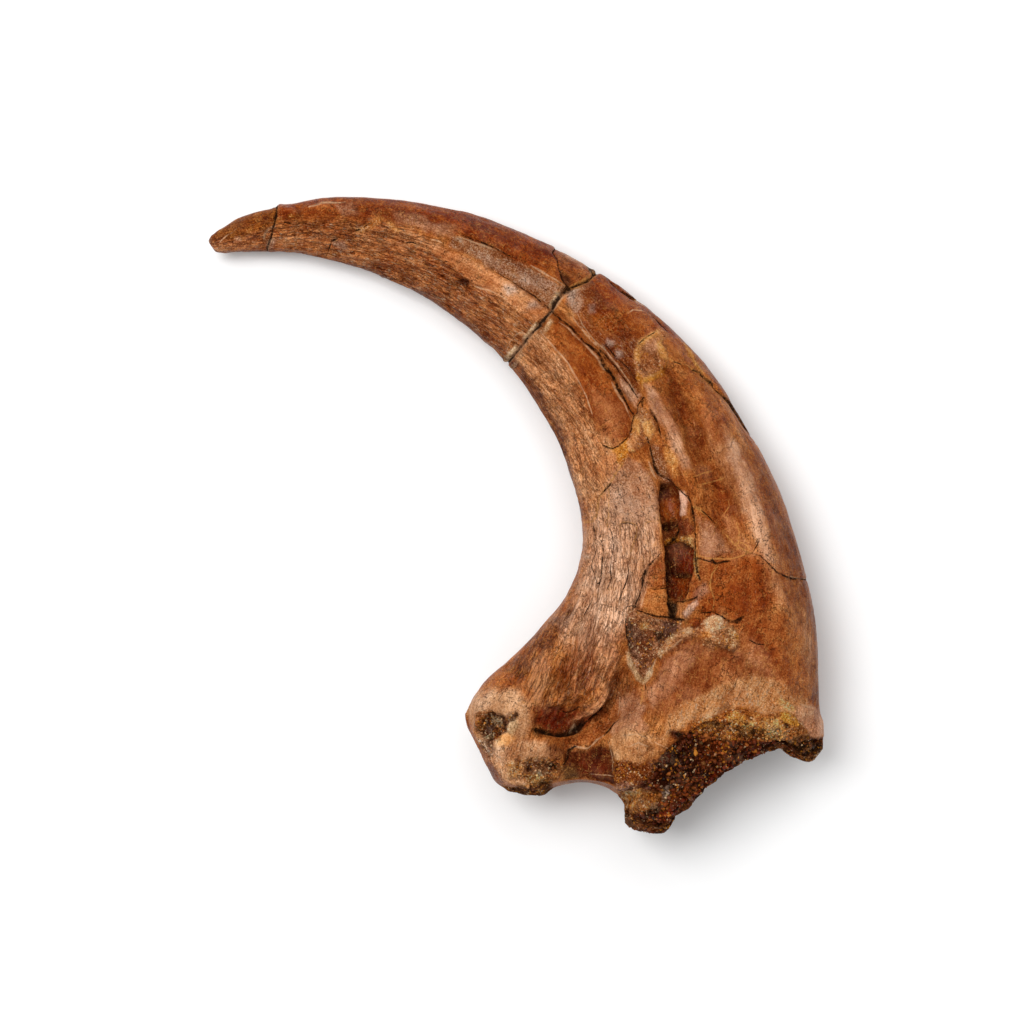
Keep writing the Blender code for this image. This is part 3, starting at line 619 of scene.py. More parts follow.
    ("darkAmber", 0.5, 7, -0.1, smooth, "712,480 730,488 744,520 736,528 722,512"),
    ("deepPlate", 0.8, 10, 0, {"gloss": 0.5, "fleck": 0.3, "fibre": 0.12},
     "710,566 740,560 756,566 766,600 760,616 730,614 712,600"),
    ("darkAmber", 0.55, 5, 0, smooth, "740,556 754,556 768,590 774,612 764,606 752,580"),
    ("darkAmber", 0.5, 8, 0, smooth, "744,620 760,618 776,640 780,672 760,656"),
    ("rose", 0.4, 6, 0.1, {"gloss": 0.85}, "700,530 714,534 722,552 712,562 700,556"),
    ("darkAmber", 0.55, 6, 0, smooth, "716,586 734,580 750,592 748,610 728,612 714,602"),
    ("rose", 0.35, 7, 0.1, {"gloss": 0.85}, "752,640 764,650 772,676 760,680 748,660"),
    ("shade", 0.4, 6, 0, {"gloss": 0.7}, "722,636 740,640 750,662 738,664 724,650"),
    ("orangeTan", 0.5, 5, 0, veined, "722,512 736,520 748,545 758,556 744,556 732,545"),
    ("orangeTan", 0.4, 7, 0, veined, "724,628 740,630 768,656 790,690 770,690 740,656"),
    # slot: dark hollows, a painted pink highlight on its lit wall, a nodule and a block
    ("slot", 0.9, 4, -0.9, {"gloss": 0.7, "fibre": 0.1, "fleck": 0, "grain": 0},
     "661,482 670,484 677,493 681,504 680,520 676,528 664,532 661,511"),
    ("violet", 0.6, 3, 0.1, {"gloss": 0.7}, "662,492 668,493 668,500 663,501"),
    # painted highlight on the lit wall of the slot
    ("pinkHighlight", 0.9, 3, 0.35, {"gloss": 1, "fibre": 0}, "677,492 684,493 688,500 687,514 680,516 678,505"),
    ("redBrown", 0.85, 3, 0.1, {"gloss": 0.6, "grain": 0.5}, "678,520 690,518 694,530 690,538 680,536"),
    ("ochre", 0.6, 3, 0, crumbs, "679,537 692,537 693,547 684,548"),
    ("slot", 0.8, 5, -0.5, {"gloss": 0.3}, "662,526 675,524 680,540 674,552 664,548"),
    ("slot", 0.95, 4, -0.9, {"gloss": 0.5, "grain": 0, "fleck": 0},
     "667,546 674,541 685,544 693,550 694,565 690,584 684,598 676,600 669,592 667,575 665,560"),
    ("hole", 0.7, 4, -0.2, {}, "666,546 674,548 676,570 670,598 666,580"),
    ("ember", 0.7, 4, 0.35, {"gloss": 0.9}, "664,499 671,497 677,507 675,519 667,517"),
    ("hole", 0.8, 3, -0.3, {}, "661,484 666,484 668,492 663,497"),
    ("hole", 0.7, 3, -0.3, {}, "664,524 675,520 678,526 670,531"),
    ("redBrown", 0.9, 4, 0.4, {"gloss": 0.9}, "677,551 686,549 692,560 690,573 681,570"),
    ("darkAmber", 0.7, 4, 0.3, {"gloss": 0.8}, "676,577 686,576 687,588 680,595 675,588"),
    ("hole", 0.7, 2.5, -0.3, {}, "676,571 690,575 688,579 677,577"),
    ("gold", 0.6, 2, 0.1, crumbs, "666,540 676,536 680,540 672,545 667,545"),
    ("ochre", 0.6, 2.5, 0.1, crumbs, "694,548 698,560 699,578 695,572 692,556"),
    ("roseBrown", 0.6, 3, 0.1, smooth, "692,570 698,580 700,592 694,600 688,596"),
    ("brown", 0.9, 3, 0.15, {"gloss": 0.5, "fibre": 0.15},
     "645,588 667,589 668,615 654,612 642,610 643,596"),
    ("roseBrown", 0.7, 3, 0.05, {"gloss": 0.5}, "661,552 666,570 667,587 645,586 650,568"),
    ("hole", 0.95, 2, -0.8, {"grain": 0.5}, "669,598 676,600 678,610 675,619 668,618"),
    ("amber", 0.7, 3, 0.1, smooth, "702,604 712,592 714,608 706,614"),
    ("dust", 0.1, 5, 0, {"gloss": 0.8}, "696,590 706,582 709,590 700,600 694,604"),
    # painted glint below the slot
    ("pinkHighlight", 0.7, 2, 0.15, {"gloss": 0.95}, "684,614 690,606 697,601 698,605 691,612 686,617"),
    ("darkAmber", 0.6, 4, 0.2, smooth, "700,610 712,600 722,606 716,614 704,616"),
    # painted glint over the one above, in the dust tone
    ("dust", 0.15, 5, 0.1, {"gloss": 0.8}, "683,616 690,607 697,601 698,604 692,612 686,618"),
    # the filled pocket below the slot
    ("greyMatrix", 0.95, 3, -0.5, crumbs,
     "626,611 640,614 656,618 682,620 680,630 672,637 664,640 658,650 652,661 649,673 643,683 635,675 "
     "631,660 627,636"),
    ("violet", 0.55, 4, -0.2, {"matrix": 0.9}, "629,624 640,626 649,640 651,660 646,670 638,668 631,648"),
    ("orangeTan", 0.6, 3, 0.1, {"matrix": 0.8}, "634,612 648,616 654,630 646,634 636,622"),
    ("ochre", 0.5, 2, 0.15, crumbs, "640,624 648,622 650,628 643,632"),
    ("hole", 0.7, 3, -0.4, {}, "628,618 633,622 636,640 634,654 629,646 627,630"),
    ("plate", 0.6, 3, 0.1, {"matrix": 0.8}, "640,640 648,642 652,656 646,668 640,660"),
    ("violet", 0.9, 3, -0.1, {"matrix": 0.6, "gloss": 0.7}, "660,622 678,621 678,632 668,638 660,636"),
    ("hole", 0.8, 2.5, -0.3, {}, "652,632 660,630 662,638 656,642"),
    ("filler", 0.75, 2.5, 0.15, powder,
     "626,652 629,654 634,668 641,678 648,666 653,661 649,675 642,684 635,679 629,666"),
    ("rimTan", 0.6, 5, 0.1, crumbs, "655,650 664,640 676,632 684,628 682,634 670,646 664,655 656,656"),
    ("ember", 0.5, 4, 0, {}, "654,658 664,656 676,646 672,654 658,666"),
    ("orangeTan", 0.6, 5, 0.1, {"matrix": 0.6},
     "676,632 690,624 704,622 706,634 690,640 672,648 664,652 664,642"),
    ("rimTan", 0.8, 5, 0.1, crumbs, "700,640 716,634 734,626 740,640 732,652 720,646 708,648"),
    ("cream", 0.6, 2.5, 0.15, crumbs, "663,640 671,633 677,636 668,645"),
    ("cream", 0.5, 2.5, 0.15, crumbs, "681,631 691,626 694,631 684,637"),
    ("cream", 0.5, 2, 0.1, crumbs, "655,655 660,648 664,650 660,659"),
    ("heelLow", 0.45, 6, 0.08, {"matrix": 0.6, "gloss": 0.2, "fibre": 0},
     "654,653 662,642 676,632 690,625 698,626 696,634 682,641 670,650 660,658"),
    ("redBrown", 0.6, 2.5, -0.1, {"gloss": 0.6}, "668,650 680,642 692,636 694,639 682,647 670,655"),
    ("cream", 1.0, 3, 0.3, {"matrix": 0.15, "gloss": 0.6},
     "704,620 712,616 722,618 724,628 714,632 706,630"),
    ("orangeTan", 0.7, 3, 0.1, {"gloss": 0.5}, "709,620 718,619 719,625 711,627"),
    ("heelLow", 0.6, 4, 0.15, {"matrix": 0.5, "gloss": 0.3},
     "697,628 703,620 714,617 722,621 721,632 711,639 702,636"),
    ("gold", 0.5, 3, 0, powder, "700,632 710,631 713,636 704,638"),
    ("innerTan", 0.7, 6, 0, {"matrix": 0.8}, "718,622 728,623 733,636 722,646 712,642"),
    ("darkAmber", 0.8, 3, 0.1, smooth, "687,620 694,617 702,620 700,628 692,628"),
    # base plate, bulge and rim
    ("basePlate", 0.85, 10, 0.15, {"gloss": 0.7, "fibre": 0.15},
     "660,660 690,640 735,646 770,676 720,698 682,712 650,716 642,690"),
    ("rose", 0.35, 10, 0.25, {"gloss": 0.8}, "648,690 662,664 682,646 700,646 690,672 672,698 652,706"),
    ("orangeTan", 0.6, 4, 0, veined, "634,690 642,684 650,688 646,700 638,704"),
    ("rimTan", 0.9, 7, 0.1,
     {"fleck": 1, "grain": 0.5, "gloss": 0.5, "fibre": 0.2, "pore": 0.6, "matrix": 0.2},
     "690,700 722,684 752,674 776,680 806,700 812,716 775,724 742,707 712,714 684,728 664,738 668,716"),
    ("heelLow", 0.5, 4, 0.1, {"matrix": 0.7},
     "700,716 712,712 722,706 728,700 732,704 724,711 712,718 702,721"),
    ("ochre", 0.5, 5, 0.1, crumbs, "776,698 790,700 796,710 784,710"),
    ("shade", 0.5, 3, -0.15, {}, "736,712 746,709 750,713 742,717"),
    ("orangeTan", 0.5, 6, 0, {"gloss": 0.6}, "724,690 742,684 752,694 744,706 728,704"),
    ("rose", 0.7, 4, 0.3, {"gloss": 0.4, "fleck": 0.3, "fibre": 0},
     "794,706 812,706 822,722 822,738 808,739 797,732 795,718"),
    ("roseBrown", 0.6, 8, 0.2, {"grain": 0.5, "fibre": 0.15},
     "616,690 634,684 650,708 640,726 622,722 606,734 598,728"),
    ("rose", 0.45, 8, 0.1, {"gloss": 0.7}, "616,696 634,690 646,706 638,722 620,718"),
    ("rose", 0.5, 6, 0.3, {"gloss": 0.7}, "616,722 640,716 650,728 640,740 622,742 612,734"),
    ("rimTan", 0.75, 6, 0.3, {"fleck": 0.4, "grain": 0.4, "gloss": 0.5},
     "612,740 630,732 664,736 670,744 655,756 640,764 622,764 610,752"),
    ("plate", 0.55, 4, -0.1, {}, "628,744 646,740 656,746 646,756 632,756"),
    # ribs, folds and the ember hollow between the heel and the bulge
    ("brown", 0.75, 20, 0, {"fibre": 1, "fleck": 0.6, "gloss": 0.8, "rib": 1},
     "520,680 552,648 584,612 612,640 628,690 604,704 560,706 532,700"),
    ("shade", 0.6, 9, 0, {"fibre": 0.8}, "505,672 540,636 572,604 578,612 552,646 524,680"),
    # painted sheen of the pale fibres, running on down into the folds
    ("paleFibre", 0.5, 14, 0.1, {"gloss": 0.92, "fibre": 1},
     "580,604 604,600 616,622 612,650 596,664 582,650 574,626"),
    ("shade", 0.35, 8, -0.15, {"fibre": 1, "rib": 1}, "556,690 580,668 606,660 612,668 590,684 566,700"),
    ("orangeTan", 0.5, 12, 0.1, {"gloss": 0.9, "fibre": 0.9},
     "560,664 590,640 612,650 622,672 604,690 580,692"),
    ("slot", 0.5, 5, -0.2, {}, "606,690 618,676 630,672 632,684 616,700 604,716 594,726 598,712"),
    ("plate", 0.8, 6, -0.2, {"gloss": 0.4},
     "560,742 580,734 604,720 614,708 612,722 598,740 578,748 566,752"),
    ("heelTan", 0.85, 12, 0.1, {"fleck": 0.4, "grain": 0.3, "gloss": 0.6, "fibre": 0.15, "rib": 0.1},
     "464,704 492,690 515,690 528,702 531,722 524,742 496,748 475,744"),
    ("heelLow", 0.85, 9, 0, {"fleck": 0.4, "grain": 0.5, "pore": 0.7, "matrix": 0.2},
     "475,742 520,738 546,742 554,756 550,772 530,790 504,788 488,766"),
    ("rose", 0.5, 6, 0.1, {"gloss": 0.7}, "486,746 500,744 512,752 508,764 494,762"),
    ("ochre", 0.5, 6, 0.1, crumbs, "508,766 522,764 524,776 512,780"),
    # painted highlight on the heel's top left, in the dust tone
    ("dust", 0.22, 10.2, 0, {"gloss": 0.6}, "478,702 486,694 496,694 492,704 482,712"),
    ("filler", 0.6, 4, 0.1, powder, "507,722 515,719 519,727 512,736 506,732"),
    ("ochre", 0.6, 5, 0, smooth, "497,738 508,733 516,738 508,747 498,746"),
    ("pit", 0.8, 5, -0.5, {"sponge": 0.8, "matrix": 0.6, "fleck": 0},
     "481,716 490,713 503,716 508,722 507,731 500,737 492,741 483,736 475,731 478,724"),
    ("hole", 0.6, 3, -0.3, {}, "482,722 488,717 494,719 491,727 485,731"),
    ("hole", 0.6, 3, -0.3, {}, "498,726 505,724 505,731 500,734"),
    ("cream", 0.7, 2, 0.3, crumbs, "494,721 499,719 501,725 496,727"),
    ("pit", 0.7, 3, -0.3, {"sponge": 0.8}, "508,716 516,712 519,716 514,721 508,722"),
    ("dust", 0.44, 5, 0.2, crumbs, "484,725 488,724 490,729 485,730"),
    ("ember", 0.8, 2.5, 0.1, crumbs, "493,731 498,732 499,738 494,740"),
    ("ember", 0.7, 3, 0.1, crumbs, "486,731 494,729 503,735 499,741 489,741"),
    ("cream", 0.7, 2, 0.2, crumbs, "484,732 491,729 495,735 489,740 483,737"),
    ("cream", 0.5, 2, 0.15, crumbs, "490,719 496,718 497,724 491,725"),
    ("crust", 0.7, 2.5, 0.1, crumbs, "492,726 500,724 503,731 496,735 491,731"),
    ("gold", 0.5, 2, 0.15, crumbs, "476,722 481,719 484,725 479,731"),
    ("crust", 0.7, 3, 0.2, crumbs, "474,714 482,711 490,713 482,722 476,728"),
    ("dust", 0.44, 5.1, 0.2, crumbs, "476,738 484,740 492,750 492,758 484,752 478,746"),
    ("slot", 0.6, 3, -0.3, {"sponge": 0.7}, "484,740 494,742 498,750 492,752"),
    ("violet", 0.85, 3, -0.3, {"gloss": 0.5, "fleck": 0},
     "484,762 494,763 501,773 504,783 499,786 490,776"),
    ("olive", 0.8, 4, -0.1, {"sponge": 0.9}, "499,786 512,788 532,784 552,776 552,788 542,800 512,798"),
    ("crust", 0.6, 6, 0, {"sponge": 0.5, "matrix": 0.8},
     "514,762 532,755 556,756 564,766 556,780 536,786 518,778"),
    ("darkRed", 0.7, 5, -0.4, {"sponge": 0.7}, "523,763 530,762 534,758 541,764 534,768 528,772"),
    ("hole", 0.8, 2.5, -0.4, {}, "527,766 533,764 535,768 530,770"),
    ("pit", 0.7, 4, -0.4, {"sponge": 0.9}, "544,760 550,762 558,758 561,768 553,770 550,777"),
    ("hole", 0.8, 2, -0.4, {}, "549,764 555,763 557,768 551,770"),
    ("cream", 0.6, 2, 0.2, crumbs, "536,770 542,769 544,774 538,776"),
    ("ochre", 0.6, 4, 0, crumbs, "526,776 540,772 548,779 540,788 528,786"),
    ("violet", 0.5, 3, 0, {"pore": 1}, "548,746 556,744 566,752 560,760 552,756"),
    ("redBrown", 0.9, 10, -0.4, {"gloss": 0.8, "fibre": 0.3, "rib": 0.4, "fleck": 0.3},
     "534,708 548,704 564,708 580,710 600,706 604,712 590,724 570,730 548,731 536,724"),
    ("redBrown", 0.6, 8, 0, {"gloss": 0.8}, "538,718 550,709 564,708 568,716 556,725 542,726"),
    ("hole", 0.8, 4, -0.3, {}, "534,730 546,727 560,730 572,724 584,720 582,727 570,733 554,735 540,733"),
    ("innerTan", 0.6, 6, 0.3, {"gloss": 0.9, "fleck": 0.4, "fibre": 0.8, "rib": 0.8},
     "570,722 582,712 592,705 598,694 604,686 610,690 606,704 596,714 584,718 575,724"),
    ("hollow", 0.95, 6, -0.3, {"gloss": 0.5, "fibre": 0.15, "fleck": 0.1},
     "566,752 584,748 600,744 613,750 616,790 580,790 562,790"),
    ("darkRed", 0.4, 8, -0.2, smooth, "582,760 600,756 606,772 594,778 582,774"),
    ("olive", 0.4, 6, 0, smooth, "562,766 578,768 580,784 562,784"),
    # the broken joint: a crust of crumbs, the open sponge, and the smooth rim under it
    ("ember", 0.8, 5, 0.2, {"grain": 0.6, "matrix": 1, "fleck": 0, "gloss": 0},
     "612,760 640,762 656,764 656,780 640,792 622,792 612,780"),
    ("sponge", 0.95, 4, -0.5, spongy,
     "690,732 702,724 722,722 742,722 754,726 768,730 777,728 792,738 809,740 830,736 830,790 760,800 "
     "700,850 630,850 612,815 622,790 640,786 650,776 658,760 668,748 680,742"),
    ("hole", 0.75, 10, -0.2, {}, "658,762 674,748 690,742 702,748 696,768 682,788 664,796 654,780"),
    ("hole", 0.6, 8, -0.2, {}, "700,776 724,762 752,752 752,762 724,778 700,800"),
    ("hole", 0.6, 8, -0.2, {}, "628,812 648,806 664,812 660,828 640,832 626,824"),
    ("gold", 0.3, 8, 0.1, {"matrix": 0.5}, "640,796 656,792 664,800 652,810 638,808"),
    ("ochre", 0.7, 5, 0.1, {"sponge": 0.5, "matrix": 0.9}, "622,792 640,788 652,792 640,804 624,812"),
    ("crust", 0.85, 4, 0.2, {"sponge": 0.5, "matrix": 0.9}, "626,800 644,790 662,800 650,812 632,816"),
    ("ember", 0.5, 6, 0, {}, "656,800 676,790 690,780 694,792 676,808 660,816"),
    ("ember", 0.4, 8, 0.1, {"sponge": 0.9}, "694,752 712,742 730,740 738,752 722,766 704,772"),
    ("rimTan", 0.5, 3, 0.2, crumbs, "764,733 772,730 782,733 784,740 774,744 764,741"),
    ("heelTan", 0.6, 2, 0.2, {"gloss": 0.5}, "650,806 656,803 658,810 652,812"),
    ("dust", 0.33, 5.1, 0.3, crumbs, "662,788 670,787 671,795 664,802"),
    ("dust", 0.28, 6.8, 0.2, crumbs, "618,784 634,786 632,794 622,796"),
    ("crust", 0.9, 4, 0.3, crumbs,
     "690,722 706,719 724,711 744,709 762,715 786,715 800,722 808,738 790,746 764,743 744,741 724,739 "
     "706,737 692,738"),
    ("olive", 0.7, 3, 0, {"matrix": 0.9, "sponge": 0.4}, "704,724 714,720 726,724 724,729 708,729"),
    ("ochre", 0.7, 4, 0.2, crumbs, "760,718 776,718 786,730 780,742 764,740 756,730"),
    ("ember", 0.5, 5, 0, {}, "700,732 716,732 722,740 708,746 698,740"),
    ("ochre", 0.8, 4, 0.2, crumbs, "726,715 736,712 746,718 756,724 750,734 736,732 728,726"),
    ("olive", 0.6, 3, -0.2, {"sponge": 0.8}, "740,730 752,726 758,734 750,740 742,738"),
    ("gold", 0.85, 3, 0.2, crumbs, "780,713 788,712 796,718 795,726 786,724 780,719"),
    ("hole", 0.9, 2, -0.3, {}, "783,724 788,723 789,728 784,728"),
    ("olive", 0.6, 4, -0.1, spongy, "784,738 800,736 816,740 822,750 812,760 796,754"),
    ("redBrown", 0.8, 3, 0.3, smooth,
     "656,818 676,806 698,792 716,774 732,762 752,755 768,752 768,758 744,766 728,776 708,794 690,806 "
     "664,826"),
    ("slot", 0.9, 3, -0.5, {"grain": 0.6}, "668,732 676,730 686,734 684,740 676,741"),
    ("hole", 0.95, 2, -0.8, {}, "675,733 681,733 685,738 680,740"),
    ("violet", 0.7, 3, 0, {"matrix": 0.6}, "647,762 655,758 658,764 652,770"),
    ("violet", 0.6, 3, 0, {"matrix": 0.5, "gloss": 0.8}, "636,782 650,780 650,790 640,794"),
]
# Lines: kind, half width in units, depth in mm, path. Kinds are dark, ochre and pale.
lines = [
    # the break: dust and filler on both sides of a black gap
    ("pale", 2.6, 0, "505,364 512,357 521,346 530,336 539,326"),
    ("pale", 1.9, 0, "541,323 552,310 560,299 568,291"),
    ("ochre", 2.6, 0, "570,288 578,284 588,279 599,272"),
    ("dark", 1.4, 0.8, "506,364 512,357 520,347 529,336 538,327"),
    ("dark", 1.8, 0.9, "541,323 552,309 556,301 563,293 568,288"),
    ("dark", 1.7, 0.9, "568,288 576,284 588,279 600,270"),
    ("dark", 3.2, 1.0, "538,327 541,324 543,321"),
    ("dark", 3.4, 1.0, "565,290 568,288 572,286"),
    ("dark", 2.0, 0.8, "553,304 555,302"),
    # the facet above it
    ("dark", 1.2, 0.35, "556,247 552,252 557,259 557,266 560,272 563,280 568,285"),
    ("dark", 0.8, 0.3, "584,260 589,266 595,273"),
    ("ochre", 0.8, 0, "570,285 580,280 589,275 594,270"),
    ("pale", 0.5, 0, "568,256 580,261 590,268"),
    ("dark", 0.5, 0.15, "610,281 620,289 631,296 640,299 645,303"),
    ("pale", 0.9, 0, "637,299 641,301 643,304"),
    ("pale", 0.5, 0, "627,314 633,310 640,310 646,312"),
    # trough
    ("dark", 0.5, 0.15, "497,272 508,279 520,287 535,297 549,308"),
    ("pale", 0.8, 0, "458,237 471,241 487,247 496,251"),
    ("dark", 0.6, 0.2, "460,235 476,240 492,247 510,255"),
    ("pale", 0.7, 0, "531,265 539,269 553,278 564,285"),
    ("pale", 0.7, 0, "432,240 437,241 442,243"),
    ("pale", 0.6, 0, "475,286 490,290 497,294 507,299"),
    ("pale", 0.8, 0, "507,350 510,341 515,335 521,332 525,335"),
    ("pale", 0.6, 0, "512,339 519,343"),
    ("dark", 0.6, 0.2, "407,243 413,243 419,245"),
    ("dark", 0.6, 0.2, "443,261 448,262"),
    # furrow down from the break, and the folds beside it
    ("dark", 1.1, 0.6, "553,311 562,319 572,328 583,341 597,353 604,366 613,378 620,391 626,404 633,416"),
    ("pale", 0.9, 0, "559,321 569,328 577,337 586,346 598,359 604,369"),
    ("pale", 0.8, 0, "612,382 620,396 626,408 631,419"),
    ("pale", 0.7, 0, "572,306 573,317 580,327 590,340 598,347"),
    ("pale", 0.7, 0, "577,312 582,323 589,334 598,344 606,351"),
    ("pale", 0.7, 0, "602,345 609,354 618,365 628,380 635,392"),
    ("dark", 0.8, 0.3, "598,349 611,361 620,374 631,387 637,398"),
    ("dark", 0.7, 0.3, "606,345 616,357 628,368 638,384"),
    ("pale", 0.6, 0, "540,331 551,343 568,363 577,378 586,396 592,414"),
    # round the ochre fillings
    ("dark", 1.1, 0.35, "643,398 637,405 635,413 632,422 631,430 626,439 618,446 611,449 603,446"),
    ("dark", 0.6, 0.2, "643,399 642,410"),
    ("dark", 1.1, 0.4, "651,411 655,417 658,426 660,435"),
    ("dark", 0.9, 0.4, "647,438 652,455 655,465 659,473 672,484 681,492 688,498"),
    ("pale", 0.8, 0, "649,462 652,470 656,478"),
    ("ochre", 1.2, 0.1, "622,464 615,475 610,483 604,490 600,496 597,504 597,514 592,521 583,523"),
    ("dark", 0.8, 0.2, "611,483 605,490 600,495"),
    ("ochre", 0.7, 0, "609,490 609,506 607,526"),
    ("ochre", 0.8, 0, "655,331 662,340 657,346 661,355"),
    ("ochre", 0.8, 0, "643,352 637,361 635,371 641,380"),
    ("ochre", 0.8, 0, "662,362 661,372 652,376 643,380 642,390"),
    ("dark", 0.6, 0.2, "638,345 646,338 655,333"),
    ("dark", 1.1, 0.35, "653,316 661,325 668,331"),
    # seam along the outer edge, half filled
    ("ochre", 1.0, 0, "662,357 670,359 676,362 686,365 693,369 700,372"),
    ("dark", 1.2, 0.35, "674,361 682,364"),
    ("dark", 0.8, 0.35, "693,369 701,372 706,377 711,381 718,390 726,397 732,403 740,416 749,430 757,443"),
    ("ochre", 0.9, 0, "707,377 713,383"),
    ("ochre", 0.9, 0, "718,391 724,396"),
    ("ochre", 0.8, 0, "684,343 692,354 699,366 703,372"),
    # pale fibres and the plate over them
    ("dark", 0.4, 0.15, "608,524 612,533 613,548 610,562 611,578 607,590"),
    ("ochre", 0.7, 0, "621,534 621,523 628,522 635,524 636,533 633,546 632,552"),
    ("dark", 0.6, 0.2, "621,524 628,523 634,525"),
    ("ochre", 0.6, 0, "643,524 650,521 658,521"),
    ("dark", 0.4, 0.15, "592,526 596,548 592,566 597,584"),
    ("dark", 0.4, 0.15, "599,528 603,552 600,580 590,604 580,622"),
    ("dark", 0.4, 0.15, "630,560 627,580 620,600 616,622"),
    ("ochre", 0.7, 0, "660,500 660,520 661,545"),
    ("dark", 0.6, 0.2, "625,607 632,606 638,608"),
    ("dark", 0.7, 0.3, "625,608 626,624 628,640"),
    # slot
    ("dark", 1.0, 0.4, "688,497 692,505 694,516 695,536 695,555 697,570 700,579"),
    ("dark", 1.2, 0.5, "676,524 680,519 678,530 675,540"),
    ("dark", 1.5, 0.6, "667,550 668,572 670,590 671,604 672,617"),
    ("dark", 1.2, 0.4, "660,552 654,559 648,567 643,578 641,590 636,602 632,611"),
    ("pale", 1.0, 0, "646,590 643,597 641,606"),
    ("dark", 0.7, 0.15, "645,588 656,589 667,588"),
    ("dark", 1.2, 0.4, "637,611 648,614 660,616 672,618 684,620"),
    ("dark", 0.8, 0.3, "676,599 684,602 692,600 697,597"),
    ("dark", 1.4, 0.3, "729,621 737,621 743,617"),
    ("dark", 0.8, 0.3, "700,613 712,612 722,617 730,622"),
    # net of fine seams on the right plates
    ("ochre", 0.9, 0, "694,506 700,509 707,516"),
    ("dark", 0.8, 0.25, "703,511 708,516 714,523 719,528"),
    ("ochre", 0.7, 0, "716,525 726,535 735,545 748,552"),
    ("ochre", 0.6, 0, "736,522 739,532 739,541 737,550"),
    ("ochre", 0.5, 0, "722,516 729,506 727,498"),
    ("ochre", 0.5, 0, "739,541 747,546 752,553"),
    ("ochre", 0.7, 0, "696,555 705,558 713,559 722,559 732,559 742,556 752,552"),
    ("dark", 1.0, 0.3, "713,560 716,564 722,562 730,561"),
    ("dark", 0.6, 0.2, "694,557 704,560 713,562"),
    ("ochre", 0.6, 0, "718,566 712,574 710,586 714,598 713,612"),
    ("dark", 0.8, 0.25, "752,553 760,556 768,564 776,572 790,578 811,580"),
    ("dark", 0.6, 0.2, "753,552 757,545 757,538"),
    ("pale", 0.6, 0, "792,577 800,579 811,579"),
    ("ochre", 0.6, 0, "700,485 712,482 724,478"),
    ("ochre", 0.5, 0, "692,477 704,473 720,469"),
    ("dark", 0.6, 0.2, "750,640 757,644 764,645"),
    # below the pocket, bulge and heel
    ("pale", 0.8, 0, "664,652 674,646 682,639"),
    ("ochre", 0.8, 0, "640,686 642,694 640,704"),
    ("dark", 0.6, 0.2, "643,684 644,690"),
    ("pale", 0.5, 0, "618,690 619,704 617,716"),
    ("dark", 0.9, 0.35, "619,720 611,728 604,735"),
    ("pale", 0.8, 0.1, "604,735 597,740 592,745 588,748 577,747 573,749"),
    ("dark", 0.9, 0.35, "577,747 571,751 569,758 564,764"),
    ("pale", 0.5, 0, "590,775 600,775 613,777"),
    ("pale", 0.5, 0, "609,742 611,756 612,772"),
    ("pale", 0.5, 0, "624,738 640,735 656,742 668,748"),
    ("pale", 0.5, 0, "630,748 640,743 650,747"),
    ("dark", 2.2, 0.9, "536,729 545,729 555,731 563,731 571,729 579,725 584,722"),
    ("dark", 1.5, 0.6, "590,719 597,715 604,711"),
    ("dark", 0.7, 0.2, "560,711 566,713 574,711 580,707"),
    ("pale", 0.7, 0, "571,727 575,724 578,726"),
    ("pale", 1.2, 0.0, "801,705 806,707 811,708"),
    ("pale", 0.7, 0, "766,726 776,730 785,731 790,728"),
    # tip
    ("dark", 1.1, 0.4, "278,204 277,212 276,217 273,227 271,232"),
    ("pale", 0.8, 0, "274,226 268,230 265,234 264,240"),
    ("dark", 0.8, 0.3, "273,229 271,238 268,247 267,253"),
    ("pale", 0.9, 0, "274,239 269,243 268,250"),
    ("dark", 0.9, 0.4, "336,239 331,242 329,248 326,256"),
    ("pale", 0.7, 0, "309,207 322,204 334,203 345,202"),
    ("pale", 0.5, 0, "236,228 226,236 220,243"),
    ("dark", 0.6, 0.2, "364,227 368,224 372,223"),
    ("dark", 0.6, 0.2, "356,231 360,230"),
    ("dark", 0.6, 0.2, "284,222 292,224"),
]

# Steps: rise in mm to the right of the path (seen along it), how far it reaches, path.
steps = [
    (0.35, 12, "432,240 457,250 482,264 508,280 528,289 549,308"),
    (-0.3, 10, "457,237 487,247 525,262 564,284"),
    (0.7, 9, "554,313 572,328 583,341 603,364 620,391 634,416"),
    (-0.35, 8, "643,401 636,415 632,429 624,440 606,447"),
    (-0.4, 9, "665,359 703,373 731,402 755,440"),
    (0.3, 8, "694,505 719,528 736,550 753,553"),
    (-0.3, 9, "752,553 784,579 810,580"),
    (0.5, 8, "687,494 695,536 696,571"),
    (0.45, 6, "640,611 668,616 683,620"),
    (-0.4, 8, "277,204 276,218 270,252"),
    (0.4, 6, "618,722 592,746 570,757"),
    (0.4, 6, "712,612 730,622 743,617"),
    (-0.5, 5, "608,279 631,296 645,303"),
    (0.4, 6, "660,552 643,578 632,611"),
    (0.4, 7, "556,247 552,252 558,266 568,285"),
    (0.5, 7, "792,706 796,724 806,738 818,740"),
]

